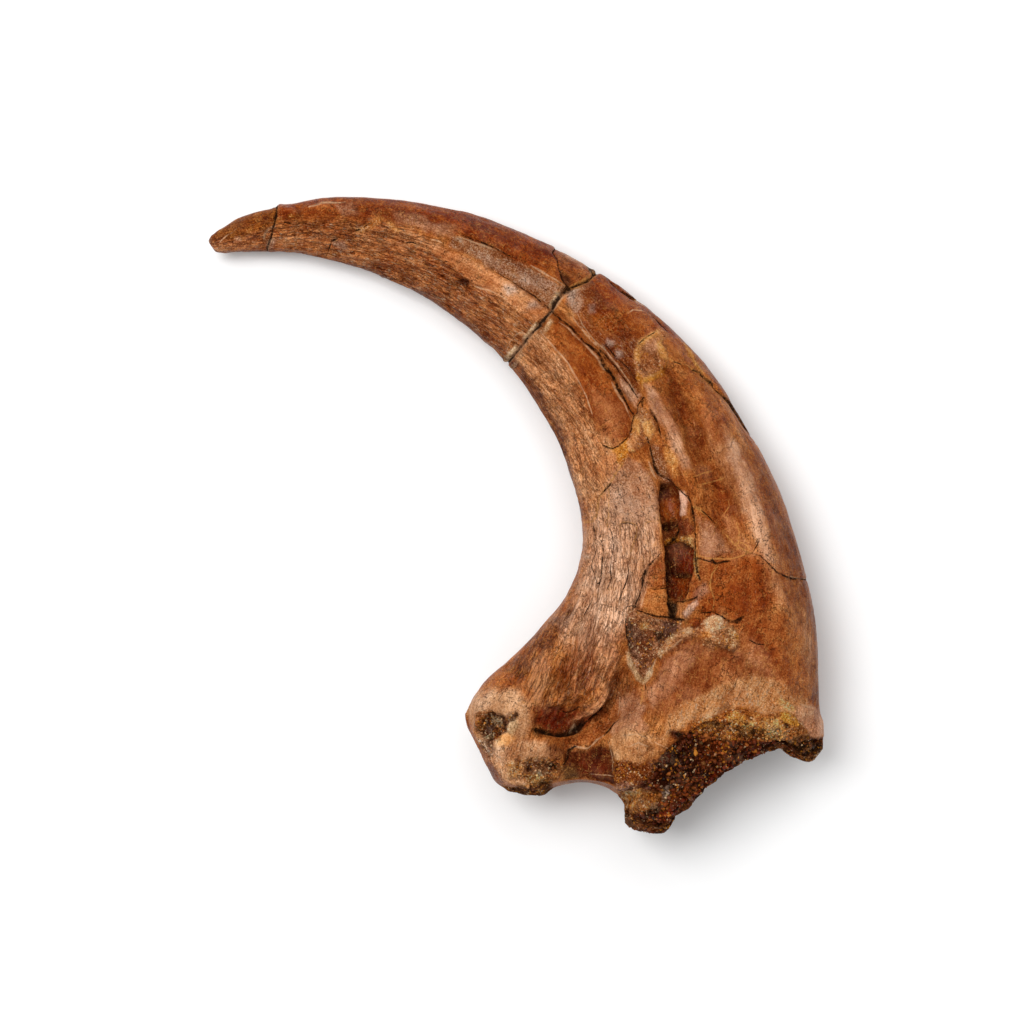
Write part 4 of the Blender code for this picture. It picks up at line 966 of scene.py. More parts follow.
# Ridges and hollows: height in mm, half width in units, path.
ridges = [
    (0.5, 5, "279,209 288,212 296,214"), (-0.5, 3, "298,207 301,213 297,220"),
    (0.35, 4, "212,236 218,230"), (-0.9, 3.4, "459,283 466,284"),
    (-0.35, 4, "236,228 224,238 218,246"),
    (0.45, 4, "570,302 590,324 612,350 628,376"), (-0.4, 4, "596,312 614,332 632,356"),
    (0.4, 3, "604,348 618,366 632,390"), (-0.3, 3, "598,350 612,366 626,386"),
    (0.5, 5, "600,334 618,342 632,352"), (-0.9, 4, "556,314 583,341 604,366 632,414"),
    (0.5, 4, "680,524 690,526 690,534"), (0.45, 6, "690,602 708,610 728,608"),
    # ribs that sweep from the pale fibres to the heel
    (0.55, 4, "536,700 556,688 578,666 594,640"), (-0.5, 3, "534,692 560,676 580,650"),
    (0.5, 4, "552,704 574,692 592,672 604,646"), (-0.5, 3, "548,698 572,682 594,654"),
    (0.45, 4, "524,690 548,670 572,640"), (0.45, 4, "572,700 592,684 608,660"),
    (-0.4, 3, "568,702 586,688 600,668"), (0.4, 4, "602,686 612,670 618,648"),
    (-0.5, 4, "600,616 610,640 614,668"), (-0.35, 3, "586,624 596,650 588,672"),
    # folds round the ember hollow
    (0.9, 5, "574,722 586,714 600,704 606,692"), (0.6, 4, "556,718 572,708 590,698"),
    (-0.6, 4, "560,714 578,704 596,692"), (-1.0, 5, "540,722 556,722 570,720"),
    (-1.2, 5, "540,731 560,733 580,727"), (-0.8, 4, "588,722 600,714 608,704"),
    (-0.8, 9, "566,746 590,734 608,716 618,692 628,672"),
    (0.4, 9, "484,704 504,694 524,702"), (0.5, 8, "500,752 520,750 540,752"),
    (-0.5, 4, "484,750 496,758 502,768"), (0.5, 5, "544,744 556,752 560,764"),
    # bulge and its wrinkles
    (0.8, 12, "624,730 640,738 656,748"), (-0.35, 3, "614,742 632,738 652,748 662,758"),
    (0.35, 3, "616,752 630,750 646,758"), (-0.3, 3, "614,762 630,760 640,768"),
    (0.4, 4, "624,788 640,782 652,776"), (-0.5, 4, "628,797 644,790 656,782"),
    (-0.5, 5, "620,676 628,690"), (-0.4, 5, "604,616 614,640 618,664"),
    # thin smooth rim under the sponge
    (0.5, 4, "668,808 692,796 714,776 732,764 766,754"),
    (0.4, 8, "700,640 690,664 668,690"), (-0.4, 6, "656,664 644,690 640,712"),
    (0.4, 6, "802,712 814,724 816,734"), (-0.6, 4, "774,742 786,744 790,756"),
]

textureNames = ["fibre", "fleck", "pore", "gloss", "matrix", "sponge", "grain", "rib", "vein"]
plainTexture = {"fibre": 0.3, "fleck": 0.15, "pore": 0.12, "gloss": 0.55, "matrix": 0.0, "sponge": 0.0,
                "grain": 0.08, "rib": 0.1, "vein": 0.1}
lineKinds = ["dark", "ochre", "pale"]
# How the drawing lies on the bone. All drawn heights are multiplied by depth. An outline wanders by a share
# of its softness, between two limits in units, and a line by its own share and swelling. A line's distance
# is in half widths and stops at farthest; a groove is at least grooveWidth wide.
drawing = {"depth": 1.4, "ragged": 0.6, "raggedLimits": (1.8, 6.0), "margin": 9, "lineWander": 0.9,
           "lineReach": 14, "lineSwell": 0.9, "swellLimits": (0.45, 1.7), "lineEnds": (0.55, 0.4),
           "farthest": 8.0, "grooveWidth": 1.7}


def onSheet(points):                         # (point - eye) * height of the eye above the level / own depth
    scale = (sheet["eyeHeight"] - sheet["level"]) / (sheet["eyeHeight"] - points[:, 2:3])
    flat = (points[:, :2] - (sheet["eyeX"], sheet["eyeY"])) * scale / sheet["unit"]
    return sheet["middle"] + flat * (1, -1)


def corners(text):                           # "x,y x,y" as an array of points
    return np.array([pair.split(",") for pair in text.split()], float)


def linear(colour):                          # a paint program's 0 to 255 as light: ((c + a) / (1 + a))^2.4
    c = np.asarray(colour, float) / 255
    return np.where(c <= 0.04045, c / 12.92, ((c + 0.055) / 1.055) ** 2.4)


def nearBox(xy, path, reach):                # which points lie in the path's box, grown by reach
    low, high = path.min(axis=0) - reach, path.max(axis=0) + reach
    return np.nonzero(((xy > low) & (xy < high)).all(axis=-1))[0]


def insideDepth(xy, outline):                # distance to the edge of a polygon, positive inside (even-odd)
    distance, _, _ = pathDistance(xy, np.vstack([outline, outline[:1]]))
    inside = np.zeros(len(xy), bool)
    for a, b in zip(outline, np.roll(outline, -1, axis=0)):
        crosses = (a[1] > xy[:, 1]) != (b[1] > xy[:, 1])
        rise = np.where(b[1] == a[1], 1e-9, b[1] - a[1])
        inside ^= crosses & (xy[:, 0] < (b[0] - a[0]) * (xy[:, 1] - a[1]) / rise + a[0])
    return np.where(inside, distance, -distance)


def paintPatches(xy, wander):
    # tone, textures and height: each patch covers what is under it by amount * smooth(depth inside)
    tone = np.tile(linear(tones["brown"]), (len(xy), 1))
    texture = np.tile([plainTexture[name] for name in textureNames], (len(xy), 1))
    height = np.zeros(len(xy))
    for toneName, amount, softness, rise, strengths, text in patches:
        outline = corners(text)
        near = nearBox(xy, outline, softness + drawing["margin"])
        raggedness = np.clip(drawing["ragged"] * softness, *drawing["raggedLimits"])
        depth = insideDepth(xy[near] + wander[near] * raggedness, outline)
        cover = smoothStep(depth, -softness / 2, softness / 2)
        tone[near] += (linear(tones[toneName]) - tone[near]) * (amount * cover)[:, None]
        height[near] += drawing["depth"] * rise * cover
        for name, strength in strengths.items():
            column = textureNames.index(name)
            texture[near, column] += (strength - texture[near, column]) * cover
    return tone, texture, height


def lineDistances(xy, wander, drawn):
    # for each kind, signed and plain distance to the nearest line in half widths, and the depth of the
    # grooves, deep * exp(-(distance / width)^2)
    signed, plain = (np.full((len(xy), len(lineKinds)), drawing["farthest"]) for _ in range(2))
    groove = np.zeros(len(xy))
    for kind, halfWidth, deep, text in drawn:
        column, path = lineKinds.index(kind), corners(text)
        near = nearBox(xy, path, drawing["lineReach"])
        distance, side, along = pathDistance(xy[near] + wander[near] * drawing["lineWander"], path)
        width = halfWidth * fadedEnds(np.clip(along, 0.02, 0.98), *drawing["lineEnds"])
        width *= np.clip(1 + drawing["lineSwell"] * wander[near, 0], *drawing["swellLimits"])
        own = np.minimum(distance / width, drawing["farthest"])
        closer = own < plain[near, column]
        signed[near, column] = np.where(closer, own * side, signed[near, column])
        plain[near, column] = np.where(closer, own, plain[near, column])
        cut = deep * np.exp(-((distance / max(halfWidth, drawing["grooveWidth"])) ** 2))
        groove[near] = np.maximum(groove[near], cut)
    return signed, plain, groove


def drawnRelief(xy, wander):
    # steps: rise * exp(-distance / reach) on one side; ridges: rise * exp(-(distance / width)^2)
    height = np.zeros(len(xy))
    for rise, reach, text in steps:
        path = corners(text)
        near = nearBox(xy, path, 3 * reach)
        distance, side, along = pathDistance(xy[near] + wander[near], path)
        height[near] += rise * fadedEnds(along, 0, 0.5) * np.exp(-distance / reach) * (side > 0)
    for rise, halfWidth, text in ridges:
        path = corners(text)
        near = nearBox(xy, path, 3 * halfWidth)
        distance, _, _ = pathDistance(xy[near] + wander[near], path)
        height[near] += rise * np.exp(-((distance / halfWidth) ** 2))
    return drawing["depth"] * height


def grainCoordinates(surface):
    # the claw drawn straight, in mm: distance along its middle, (share - 1/2) * its width, and height
    station, share = surface["station"], surface["share"]
    fine = np.linspace(0, len(clawForm["stations"]) - 1, 600)
    middle = outlinePoint(fine, np.full_like(fine, 0.5))
    along = np.interp(station, fine, runLength(middle))
    edges = smoothCurve(clawForm["stations"], station)
    width = np.linalg.norm(edges[:, 2:4] - edges[:, 0:2], axis=1)
    height = surface["points"][:, 2]
    return np.stack([along + 14 * surface["facePart"], (share - 0.5) * width, height], axis=1)


# Relief by noise: height in mm, size of the lumps in mm, layers, seed.
reliefNoise = {
    "fibre": (0.12, 1.3, 2, 11), "swell": (0.24, 9.0, 3, 23), "lumps": (0.22, 3.4, 2, 25),
    "smallRibs": (1.2, 2.2, 2, 27), "largeRibs": (1.5, 5.0, 2, 29), "grain": (0.10, 1.6, 2, 31),
    "filling": (0.3, 3.0, 2, 43), "hollows": (1.2, 6.0, 3, 53),
}
# Along the claw the fibres and ribs are this many times longer; a rib's top is where its noise is near 0.
ribs = {"fibreLength": 7.0, "smallLength": 6.0, "largeLength": 4.0, "top": 0.35}
# Pores: depth, size, layers, seed, noise from and to. Cells of the fillings and of the sponge: height,
# size, seed.
pits = {"pores": (0.22, 1.5, 2, 37, 0.25, 0.6),
        "fillingCells": (0.5, 1.5, 41), "spongeCells": (0.8, 1.7, 47)}


def lumps(points, name, longer=1.0):         # one of the noises above, before its height
    _, size, layers, seed = reliefNoise[name]
    return layeredNoise(points * (1 / longer, 1.0, 1.0), size, layers, seed)


def fineRelief(points, normals, grain, texture):
    # fibres and lumps everywhere, crumbly where it is filled, and cells with walls where it is spongy
    fibre, _, pore, _, matrix, sponge, crumb, rib, _ = texture.T
    high = {name: values[0] for name, values in reliefNoise.items()}
    flatness = 0.3 + 0.7 * smoothStep(np.abs(normals[:, 2]), 0.1, 0.6)
    height = high["fibre"] * fibre * lumps(grain, "fibre", ribs["fibreLength"])
    height += flatness * (high["swell"] * lumps(points, "swell") + high["lumps"] * lumps(points, "lumps"))
    for name, longer in (("smallRibs", ribs["smallLength"]), ("largeRibs", ribs["largeLength"])):
        height += high[name] * rib * (ribs["top"] - np.abs(lumps(grain, name, longer)))
    height += high["grain"] * crumb * lumps(points, "grain")
    depth, size, layers, seed, start, end = pits["pores"]
    height -= depth * pore * smoothStep(layeredNoise(points, size, layers, seed), start, end)
    rise, size, seed = pits["fillingCells"]
    first, _ = cellNoise(points, size, seed)
    height += matrix * (rise * (0.55 - first) + high["filling"] * lumps(points, "filling"))
    rise, size, seed = pits["spongeCells"]
    first, second = cellNoise(points, size, seed)
    walls = smoothStep(second - first, 0.05, 0.45)
    return height + sponge * (high["hollows"] * lumps(points, "hollows") - rise * walls)


# The invented underside: the break goes right round, with furrows' edges, cracks and pits of its own.
underLines = [
    ("dark", 1.7, 0.8, "506,365 520,345 541,321 556,303 576,286 600,270"),
    ("dark", 0.9, 0.4, "628,352 640,380 662,398 690,402 724,420 752,438"),
    ("dark", 0.8, 0.3, "352,208 344,226 350,244 342,262"),
    ("dark", 0.9, 0.35, "592,520 616,540 640,536 672,560 700,566 742,590 806,596"),
    ("dark", 0.8, 0.3, "660,430 672,470 668,520 680,566 676,620"),
    ("ochre", 1.0, 0.1, "610,446 634,452 652,470 660,492"),
    ("ochre", 0.9, 0.1, "700,566 716,604 710,640 728,676"),
    ("pale", 0.7, 0, "440,250 478,266 520,292"),
    ("dark", 0.9, 0.35, "520,700 548,716 560,742 588,752"),
    ("dark", 0.7, 0.3, "640,690 672,700 720,692 760,706"),
]


# Its colour: a share of the upper side's own, and two browns and a stain by noise, each with size in mm,
# seed, and the noise it runs from and to.
underLook = {"shownThrough": 0.35, "plates": (16.0, 61, -0.35, 0.45), "stains": (11.0, 67, 0.2, 0.6),
             "stainAmount": 0.6}


def underTone(tone, points):
    shares = []
    for size, seed, low, high in (underLook["plates"], underLook["stains"]):
        shares.append(smoothStep(layeredNoise(points, size, 3, seed), low, high)[:, None])
    plates, stain = shares[0], underLook["stainAmount"] * shares[1]
    mixed = linear(tones["brown"]) * (1 - plates) + linear(tones["plate"]) * plates
    mixed = mixed * (1 - stain) + linear(tones["innerTan"]) * stain
    return underLook["shownThrough"] * tone + (1 - underLook["shownThrough"]) * mixed


def addNode(tree, kind, inputs, **settings):
    # a node with its settings, and each input gets a value or a link
    node = tree.nodes.new(kind)
    for name, value in settings.items():
        setattr(node, name, value)
    for key, value in inputs.items():
        if isinstance(value, Field):
            tree.links.new(value.socket, node.inputs[key])
        else:
            node.inputs[key].default_value = value
    return node


def fieldOf(tree, kind, inputs, output=0, **settings):
    return Field(tree, addNode(tree, kind, inputs, **settings).outputs[output])


def mathOf(tree, operation, *values):
    return fieldOf(tree, "ShaderNodeMath", dict(enumerate(values)), operation=operation)


class Field:
    # a value that a material's nodes work out at every point, so that formulas can be written with it
    def __init__(self, tree, socket):
        self.tree, self.socket = tree, socket

    def __add__(self, other):
        return mathOf(self.tree, "ADD", self, other)

    def __sub__(self, other):
        return mathOf(self.tree, "SUBTRACT", self, other)

    def __rsub__(self, other):
        return mathOf(self.tree, "SUBTRACT", other, self)

    def __mul__(self, other):
        return mathOf(self.tree, "MULTIPLY", self, other)

    def __abs__(self):
        return mathOf(self.tree, "ABSOLUTE", self)

    def atLeast(self, other):
        return mathOf(self.tree, "MAXIMUM", self, other)

    def atMost(self, other):
        return mathOf(self.tree, "MINIMUM", self, other)

    def above(self, limit):                  # 1 above the limit, 0 below it
        return mathOf(self.tree, "GREATER_THAN", self, limit)

    def below(self, limit):
        return mathOf(self.tree, "LESS_THAN", self, limit)

    def ramp(self, low, high):               # 0 below low, 1 above high, straight between
        return fieldOf(self.tree, "ShaderNodeMapRange", {0: self, 1: low, 2: high, 3: 0.0, 4: 1.0})

    def vector(self, operation, other):
        key = "Scale" if operation == "SCALE" else 1
        return fieldOf(self.tree, "ShaderNodeVectorMath", {0: self, key: other}, operation=operation)

    def stretched(self, factors):            # coordinates multiplied axis by axis
        return fieldOf(self.tree, "ShaderNodeMapping", {"Vector": self, "Scale": factors})

    def bent(self, power):                   # colour ^ power
        return fieldOf(self.tree, "ShaderNodeGamma", {0: self, 1: power})

    def laid(self, cover, over):             # this colour, and a tone or another colour where cover is 1
        over = (*linear(tones[over]), 1) if isinstance(over, str) else over
        return fieldOf(self.tree, "ShaderNodeMix", {0: cover, 6: self, 7: over}, 2, data_type="RGBA")

    def channels(self):                      # red, green and blue
        node = addNode(self.tree, "ShaderNodeSeparateColor", {0: self})
        return [Field(self.tree, socket) for socket in node.outputs[:3]]

    def axes(self):
        node = addNode(self.tree, "ShaderNodeSeparateXYZ", {0: self})
        return [Field(self.tree, socket) for socket in node.outputs[:3]]


def attributeOf(tree, name, output="Color"):
    return fieldOf(tree, "ShaderNodeAttribute", {}, output, attribute_name=name)


def inMillimetres(tree):                     # Object coordinates in mm
    return fieldOf(tree, "ShaderNodeTexCoord", {}, "Object").stretched((1 / mm, 1 / mm, 1 / mm))


def noiseOf(vector, scale, detail, roughness, output="Fac"):
    # scale is a number, or three of them for a pattern that is stretched along an axis
    if isinstance(scale, tuple):
        vector, scale = vector.stretched(scale), 1.0
    recipe = {"Vector": vector, "Scale": scale, "Detail": detail, "Roughness": roughness}
    return fieldOf(vector.tree, "ShaderNodeTexNoise", recipe, output)


def varied(colour, noise, amount, strength=1.0):
    # swing = 4 amount (noise - 1/2) strength; (1 + 0.7 swing) colour ^ (1 - swing / 2), so that dark spots
    # are redder and bright ones paler
    swing = (noise - 0.5) * (4.0 * amount) * strength
    power = (1.0 - swing * 0.5).atLeast(0.6).atMost(1.8)
    gain = (swing * 0.7 + 1.0).atLeast(0.3)
    return colour.bent(power).vector("SCALE", gain)


def creaseOf(noise, halfWidth):              # 1 where the noise is 1/2, falling to 0 at halfWidth from it
    return abs(noise - 0.5).ramp(halfWidth, 0.0)


boneLook = {
    "roughness": 0.40, "glossyRoughness": 0.24, "matteRoughness": 0.85, "roughnessSwing": 0.3,
    "specular": 0.10, "specularTint": (1.0, 0.66, 0.38, 1),
    "coat": 0.6, "coatRoughness": 0.2, "coatedGloss": (0.82, 0.96),
    "bumpStrength": 1.0, "bumpDistance": 0.0008,
    # how much each noise changes the tone, and how far gloss calms the last two
    "mottle": 0.28, "banding": 0.36, "fibreContrast": 0.3, "streakContrast": 0.5,
    "patchy": 0.26, "speckle": 0.8, "calm": 0.6,
    # thin lines: half widths in parts of their noise, and how strong they are
    "creaseWidth": 0.022, "hairlineWidth": 0.03, "hairlines": 0.7, "creaseDepth": 0.5, "creasePower": 1.7,
    "darkNetWidth": 0.010, "paleNetWidth": 0.014, "netAmount": 0.85,
    "paleHairs": 0.6, "darkHairs": 0.3,
    "veinAmount": 0.4, "veinSize": 0.22, "veinWidth": 0.035, "veinBend": 5.0,
    # dust, pores, painted shade in the hollows and painted highlight on the high places
    "fleckAmount": 0.75, "dustAmount": 0.38, "poreAmount": 0.8, "hollowShade": 0.35, "heightHighlight": 0.22,
    "clustering": 0.14, "sprinkling": 0.04, "fleckFrom": (0.645, 0.725), "dustFrom": (0.64, 0.76),
    # grains of the broken places: their size, and how bright each is beside the tone under it
    "matrixSize": 2.6, "matrixGrains": [(0.0, 0.08), (0.25, 0.5), (0.5, 1.0), (0.8, 1.5), (1.0, 2.1)],
    "spongeSize": 1.9, "spongeGrains": [(0.0, 0.05), (0.4, 0.22), (0.65, 0.75), (0.85, 1.5), (1.0, 2.7)],
    "byChance": 0.6, "byNoise": 1.7, "grainLevel": 0.68, "redder": (1.0, 1.15, 1.4),
    "grainAmount": 0.85, "creamGrains": 0.05, "goldGrains": 0.07, "brightFrom": (0.75, 1.1),
    "brightest": (0.8, 0.7, 0.62), "holeSize": 0.75, "holeFrom": (0.12, 0.35), "holeAmount": 0.85,
    # drawn lines: column of the attribute, tone, amount, softness in half widths; the cracks are last
    "lines": [(2, "paleLine", 0.7, 1.2), (1, "ochreLine", 0.6, 1.1), (0, "crack", 0.95, 0.8)],
    "fraying": 1.6, "leastLine": 0.38,
}

# Noises of the bone: in place or along the grain, scale in 1/mm (three where it is stretched), detail,
# roughness.
boneNoises = {
    "mottle": ("place", 0.14, 4.0, 0.62), "patchy": ("place", 0.5, 4.0, 0.65),
    "speckle": ("place", 2.6, 2.0, 0.8), "band": ("grain", (0.035, 0.32, 0.32), 4.0, 0.6),
    "fibre": ("grain", (0.14, 1.0, 1.0), 4.0, 0.65), "streak": ("grain", (0.3, 1.9, 1.9), 3.0, 0.7),
    "spot": ("grain", (0.55, 2.4, 2.4), 4.0, 0.75), "hair": ("grain", (0.28, 3.0, 3.0), 3.0, 0.6),
    "bend": ("grain", (0.085, 0.62, 0.62), 3.0, 0.55), "hairline": ("grain", (0.2, 1.5, 1.5), 2.0, 0.5),
    "scratch": ("place", 0.33, 4.0, 0.62), "paleScratch": ("place", (0.42, 0.336, 0.546), 4.0, 0.66),
    "hollows": ("place", 0.32, 3.0, 0.6), "openPores": ("grain", (0.5, 1.5, 1.5), 3.0, 0.7),
    "wornLines": ("place", 0.8, 2.0, 0.6),
}
# Masks: 0 where their noise or attribute is at the first value, 1 at the second.
boneMasks = {
    "cluster": ("patchy", 0.35, 0.65), "paleHair": ("hair", 0.61, 0.70), "darkHair": ("hair", 0.40, 0.32),
    "scratched": ("mottle", 0.45, 0.6), "seamed": ("patchy", 0.36, 0.6), "holed": ("hollows", 0.66, 0.40),
    # the last two masks here: painted shade in the hollows of the relief, and painted highlight on its
    # heights
    "pore": ("openPores", 0.60, 0.68), "dirty": ("cavity", 0.5, 0.0), "rubbed": ("cavity", 0.55, 1.0),
    "kept": ("wornLines", 0.36, 0.52),
}
# What each colour attribute of the mesh holds in its three channels.
boneChannels = {"texture": ("fibres", "flecks", "pores"), "surface": ("gloss", "matrix", "sponge"),
                "relief": ("cavity", "crumb", "vein")}


def readBone(tree):                          # attributes, noises and masks, under their names
    bone = SimpleNamespace(tree=tree, place=inMillimetres(tree), grain=attributeOf(tree, "grain", "Vector"),
                           tone=attributeOf(tree, "tone"))
    for attribute, names in boneChannels.items():
        vars(bone).update(zip(names, attributeOf(tree, attribute).channels()))
    for name, (along, scale, detail, roughness) in boneNoises.items():
        setattr(bone, name, noiseOf(getattr(bone, along), scale, detail, roughness))
    for name, (source, low, high) in boneMasks.items():
        setattr(bone, name, getattr(bone, source).ramp(low, high))
    return bone


def cells(bone, scale, output, **settings):
    inputs = {"Vector": bone.place, "Scale": scale}
    return fieldOf(bone.tree, "ShaderNodeTexVoronoi", inputs, output, **settings)


def boneTone(bone):
    # the patches' tone, varied by noises; over it creases, hairs, a net of scratches and ochre veins
    look = boneLook
    colour = varied(bone.tone, bone.mottle, look["mottle"])
    colour = varied(colour, bone.band, look["banding"])
    colour = varied(colour, bone.fibre, look["fibreContrast"], bone.fibres)
    colour = varied(colour, bone.streak, look["streakContrast"], bone.fibres)
    lively = 1.0 - bone.gloss * look["calm"]
    colour = varied(colour, bone.patchy, look["patchy"], lively)
    colour = varied(colour, bone.speckle, look["speckle"], lively)
    # creases: thin lines where a stretched noise passes 1/2
    hairline = creaseOf(bone.hairline, look["hairlineWidth"]) * look["hairlines"]
    bone.crease = creaseOf(bone.bend, look["creaseWidth"]).atLeast(hairline) * bone.fibres
    colour = colour.laid(bone.crease * look["creaseDepth"], colour.bent(look["creasePower"]))
    # hairs: where the finest noise along the grain is high or low
    colour = colour.laid(bone.paleHair * bone.fibres * look["paleHairs"], "paleFibre")
    colour = colour.laid(bone.darkHair * bone.fibres * look["darkHairs"], "shade")
    # a net of scratches, one dark and one pale, in some places only
    whole = (1.0 - bone.matrix.atLeast(bone.sponge)) * look["netAmount"]
    bone.darkNet = creaseOf(bone.scratch, look["darkNetWidth"]) * whole * bone.scratched
    paleNet = creaseOf(bone.paleScratch, look["paleNetWidth"]) * whole * bone.cluster
    colour = colour.laid(bone.darkNet, "shade").laid(paleNet, "ochreLine")
    # veins along the edges of large cells, bent by noise
    swirl = noiseOf(bone.place, 0.35, 3.0, 0.5, "Color").vector("SCALE", look["veinBend"])
    bentPlace = SimpleNamespace(tree=bone.tree, place=bone.place.vector("ADD", swirl))
    seam = cells(bentPlace, look["veinSize"], "Distance", feature="DISTANCE_TO_EDGE")
    seam = seam.ramp(look["veinWidth"], 0.0) * bone.vein * bone.seamed
    return colour.laid(seam * look["veinAmount"], "ochreLine")


def crumbly(bone, colour, amount, size, lean, grains):
    # every cell of a grain pattern is darker or brighter than the tone, by chance and by a slow noise
    look = boneLook
    pick, other, _ = cells(bone, size, "Color").channels()
    pick = pick * look["byChance"] + lean * look["byNoise"]
    ramp = addNode(bone.tree, "ShaderNodeValToRGB", {0: pick - look["grainLevel"]})
    stops = ramp.color_ramp.elements
    for position, _ in grains[1:-1]:
        stops.new(position)
    for stop, (position, gain) in zip(stops, grains):
        stop.position, stop.color = position, (*gain ** np.array(look["redder"]), 1)
    picked = colour.vector("MULTIPLY", Field(bone.tree, ramp.outputs[0]))
    picked = picked.vector("MINIMUM", look["brightest"])
    # a few grains are cream and a few golden, whatever the tone
    bright = pick.ramp(*look["brightFrom"])
    picked = picked.laid(other.above(1.0 - look["creamGrains"]) * bright, "cream")
    picked = picked.laid(other.below(look["goldGrains"]) * bright, "gold")
    return colour.laid(amount * look["grainAmount"], picked)


def brokenTone(bone, colour):                # grains of the fillings, grains and dark cells of the sponge
    look = boneLook
    colour = crumbly(bone, colour, bone.matrix, look["matrixSize"], bone.patchy, look["matrixGrains"])
    colour = crumbly(bone, colour, bone.sponge, look["spongeSize"], bone.hollows, look["spongeGrains"])
    walls = cells(bone, look["holeSize"], "Distance", feature="DISTANCE_TO_EDGE")
    hole = walls.ramp(*look["holeFrom"]) * bone.sponge * bone.holed
    return colour.laid(hole * look["holeAmount"], "hole")


def dustedTone(bone, colour):                # flecks, dust, pores, painted shade in the hollows, painted highlight on the heights
    look = boneLook
    fleck = bone.spot + bone.flecks * bone.cluster * look["clustering"]
    bone.fleck = fleck.ramp(*look["fleckFrom"]) * bone.flecks
    colour = colour.laid(bone.fleck * look["fleckAmount"], "fleck")
    dust = bone.speckle + bone.crumb * (bone.cluster * look["clustering"] + look["sprinkling"])
    dust = dust.ramp(*look["dustFrom"]) * bone.flecks.atLeast(bone.crumb)
    colour = colour.laid(dust * look["dustAmount"], "dust")
    colour = colour.laid(bone.pore * (bone.pores * look["poreAmount"]), "slot")
    # painted shade in the hollows, then painted highlight on the heights
    colour = colour.laid(bone.dirty * look["hollowShade"], "shade")
    return colour.laid(bone.rubbed * look["heightHighlight"], "paleFibre")


def linedTone(bone, colour):
    # a line is where the distance, in half widths, is under 1, frayed and worn a little by noise
    look = boneLook
    fray = (bone.speckle - 0.5) * look["fraying"]
    signed, plain = (attributeOf(bone.tree, name, "Vector").axes() for name in ("lineSide", "lineReach"))
    worn = bone.kept * (1 - look["leastLine"]) + look["leastLine"]
    for column, tone, amount, fringe in look["lines"]:
        distance = abs(signed[column]).atLeast(plain[column] - 1.0)
        line = (distance + fray).ramp(1.0 + fringe / 2, 1.0 - fringe / 2) * amount * worn
        colour = colour.laid(line, tone)
    bone.crack = line
    return colour


def boneRoughness(bone):                     # polished bone, and matte where it is broken, dusty or filled
    look = boneLook
    bone.dull = bone.matrix.atLeast(bone.sponge).atLeast(bone.crack.atLeast(bone.crumb * 0.6))
    polish = (1.0 - bone.gloss) * (look["roughness"] - look["glossyRoughness"]) + look["glossyRoughness"]
    polish = polish + (bone.patchy - 0.5) * look["roughnessSwing"]
    return fieldOf(bone.tree, "ShaderNodeMix", {0: bone.dull, 2: polish, 3: look["matteRoughness"]})


def boneBumps(bone, roughness):              # fibres, spots and grains, less the pores, creases and cracks
    relief = (bone.fibre + bone.streak * 0.5) * bone.fibres
    relief = relief + bone.speckle * 0.7 * roughness + bone.patchy * roughness
    relief = relief + (bone.dull * (bone.speckle * 1.5) + bone.fleck * 0.2)
    relief = relief - bone.crack - bone.pore * bone.pores - bone.crease * 0.8 - bone.darkNet
    bump = {"Height": relief, "Strength": boneLook["bumpStrength"], "Distance": boneLook["bumpDistance"]}
    return fieldOf(bone.tree, "ShaderNodeBump", bump)


def newMaterial(name):
    material = bpy.data.materials.new(name)
    material.use_nodes = True
    return material, material.node_tree, material.node_tree.nodes["Principled BSDF"]


def boneMaterial():
    look = boneLook
    material, tree, shader = newMaterial("fossilBone")
    bone = readBone(tree)
    colour = linedTone(bone, dustedTone(bone, brokenTone(bone, boneTone(bone))))
    roughness = boneRoughness(bone)
    bumps = boneBumps(bone, roughness)
    coat = bone.gloss.ramp(*look["coatedGloss"]) * look["coat"]
    for name, field in (("Base Color", colour), ("Roughness", roughness), ("Normal", bumps),
                        ("Coat Normal", bumps), ("Coat Weight", coat)):
        tree.links.new(field.socket, shader.inputs[name])
    shader.inputs["Coat Roughness"].default_value = look["coatRoughness"]
    shader.inputs["Specular IOR Level"].default_value = look["specular"]
    shader.inputs["Specular Tint"].default_value = look["specularTint"]
    return material


def setColour(mesh, name, values):           # a colour for each point, used as it is
    data = mesh.attributes.new(name, "FLOAT_COLOR", "POINT").data
    data.foreach_set("color", np.column_stack([values, np.ones(len(values))]).astype(np.float32).ravel())


def setVector(mesh, name, values):
    data = mesh.attributes.new(name, "FLOAT_VECTOR", "POINT").data
    data.foreach_set("vector", values.astype(np.float32).ravel())


# Wander of the drawing's edges: size in mm, layers, fade, seeds. Unevenness of the tones: share, size, seed.
# Then which normals are on top, how much of a groove adds to the painted shade of the hollows, and the relief
# in mm at which painted shade and painted highlight are full.
clawLook = {"wander": (5.0, 4, 0.62, (3, 5)), "unevenness": [(0.10, 8.0, 71), (0.12, 2.6, 73)],
            "topFrom": (-0.25, 0.05), "grooveShade": 0.35, "hollowDepth": 0.9}


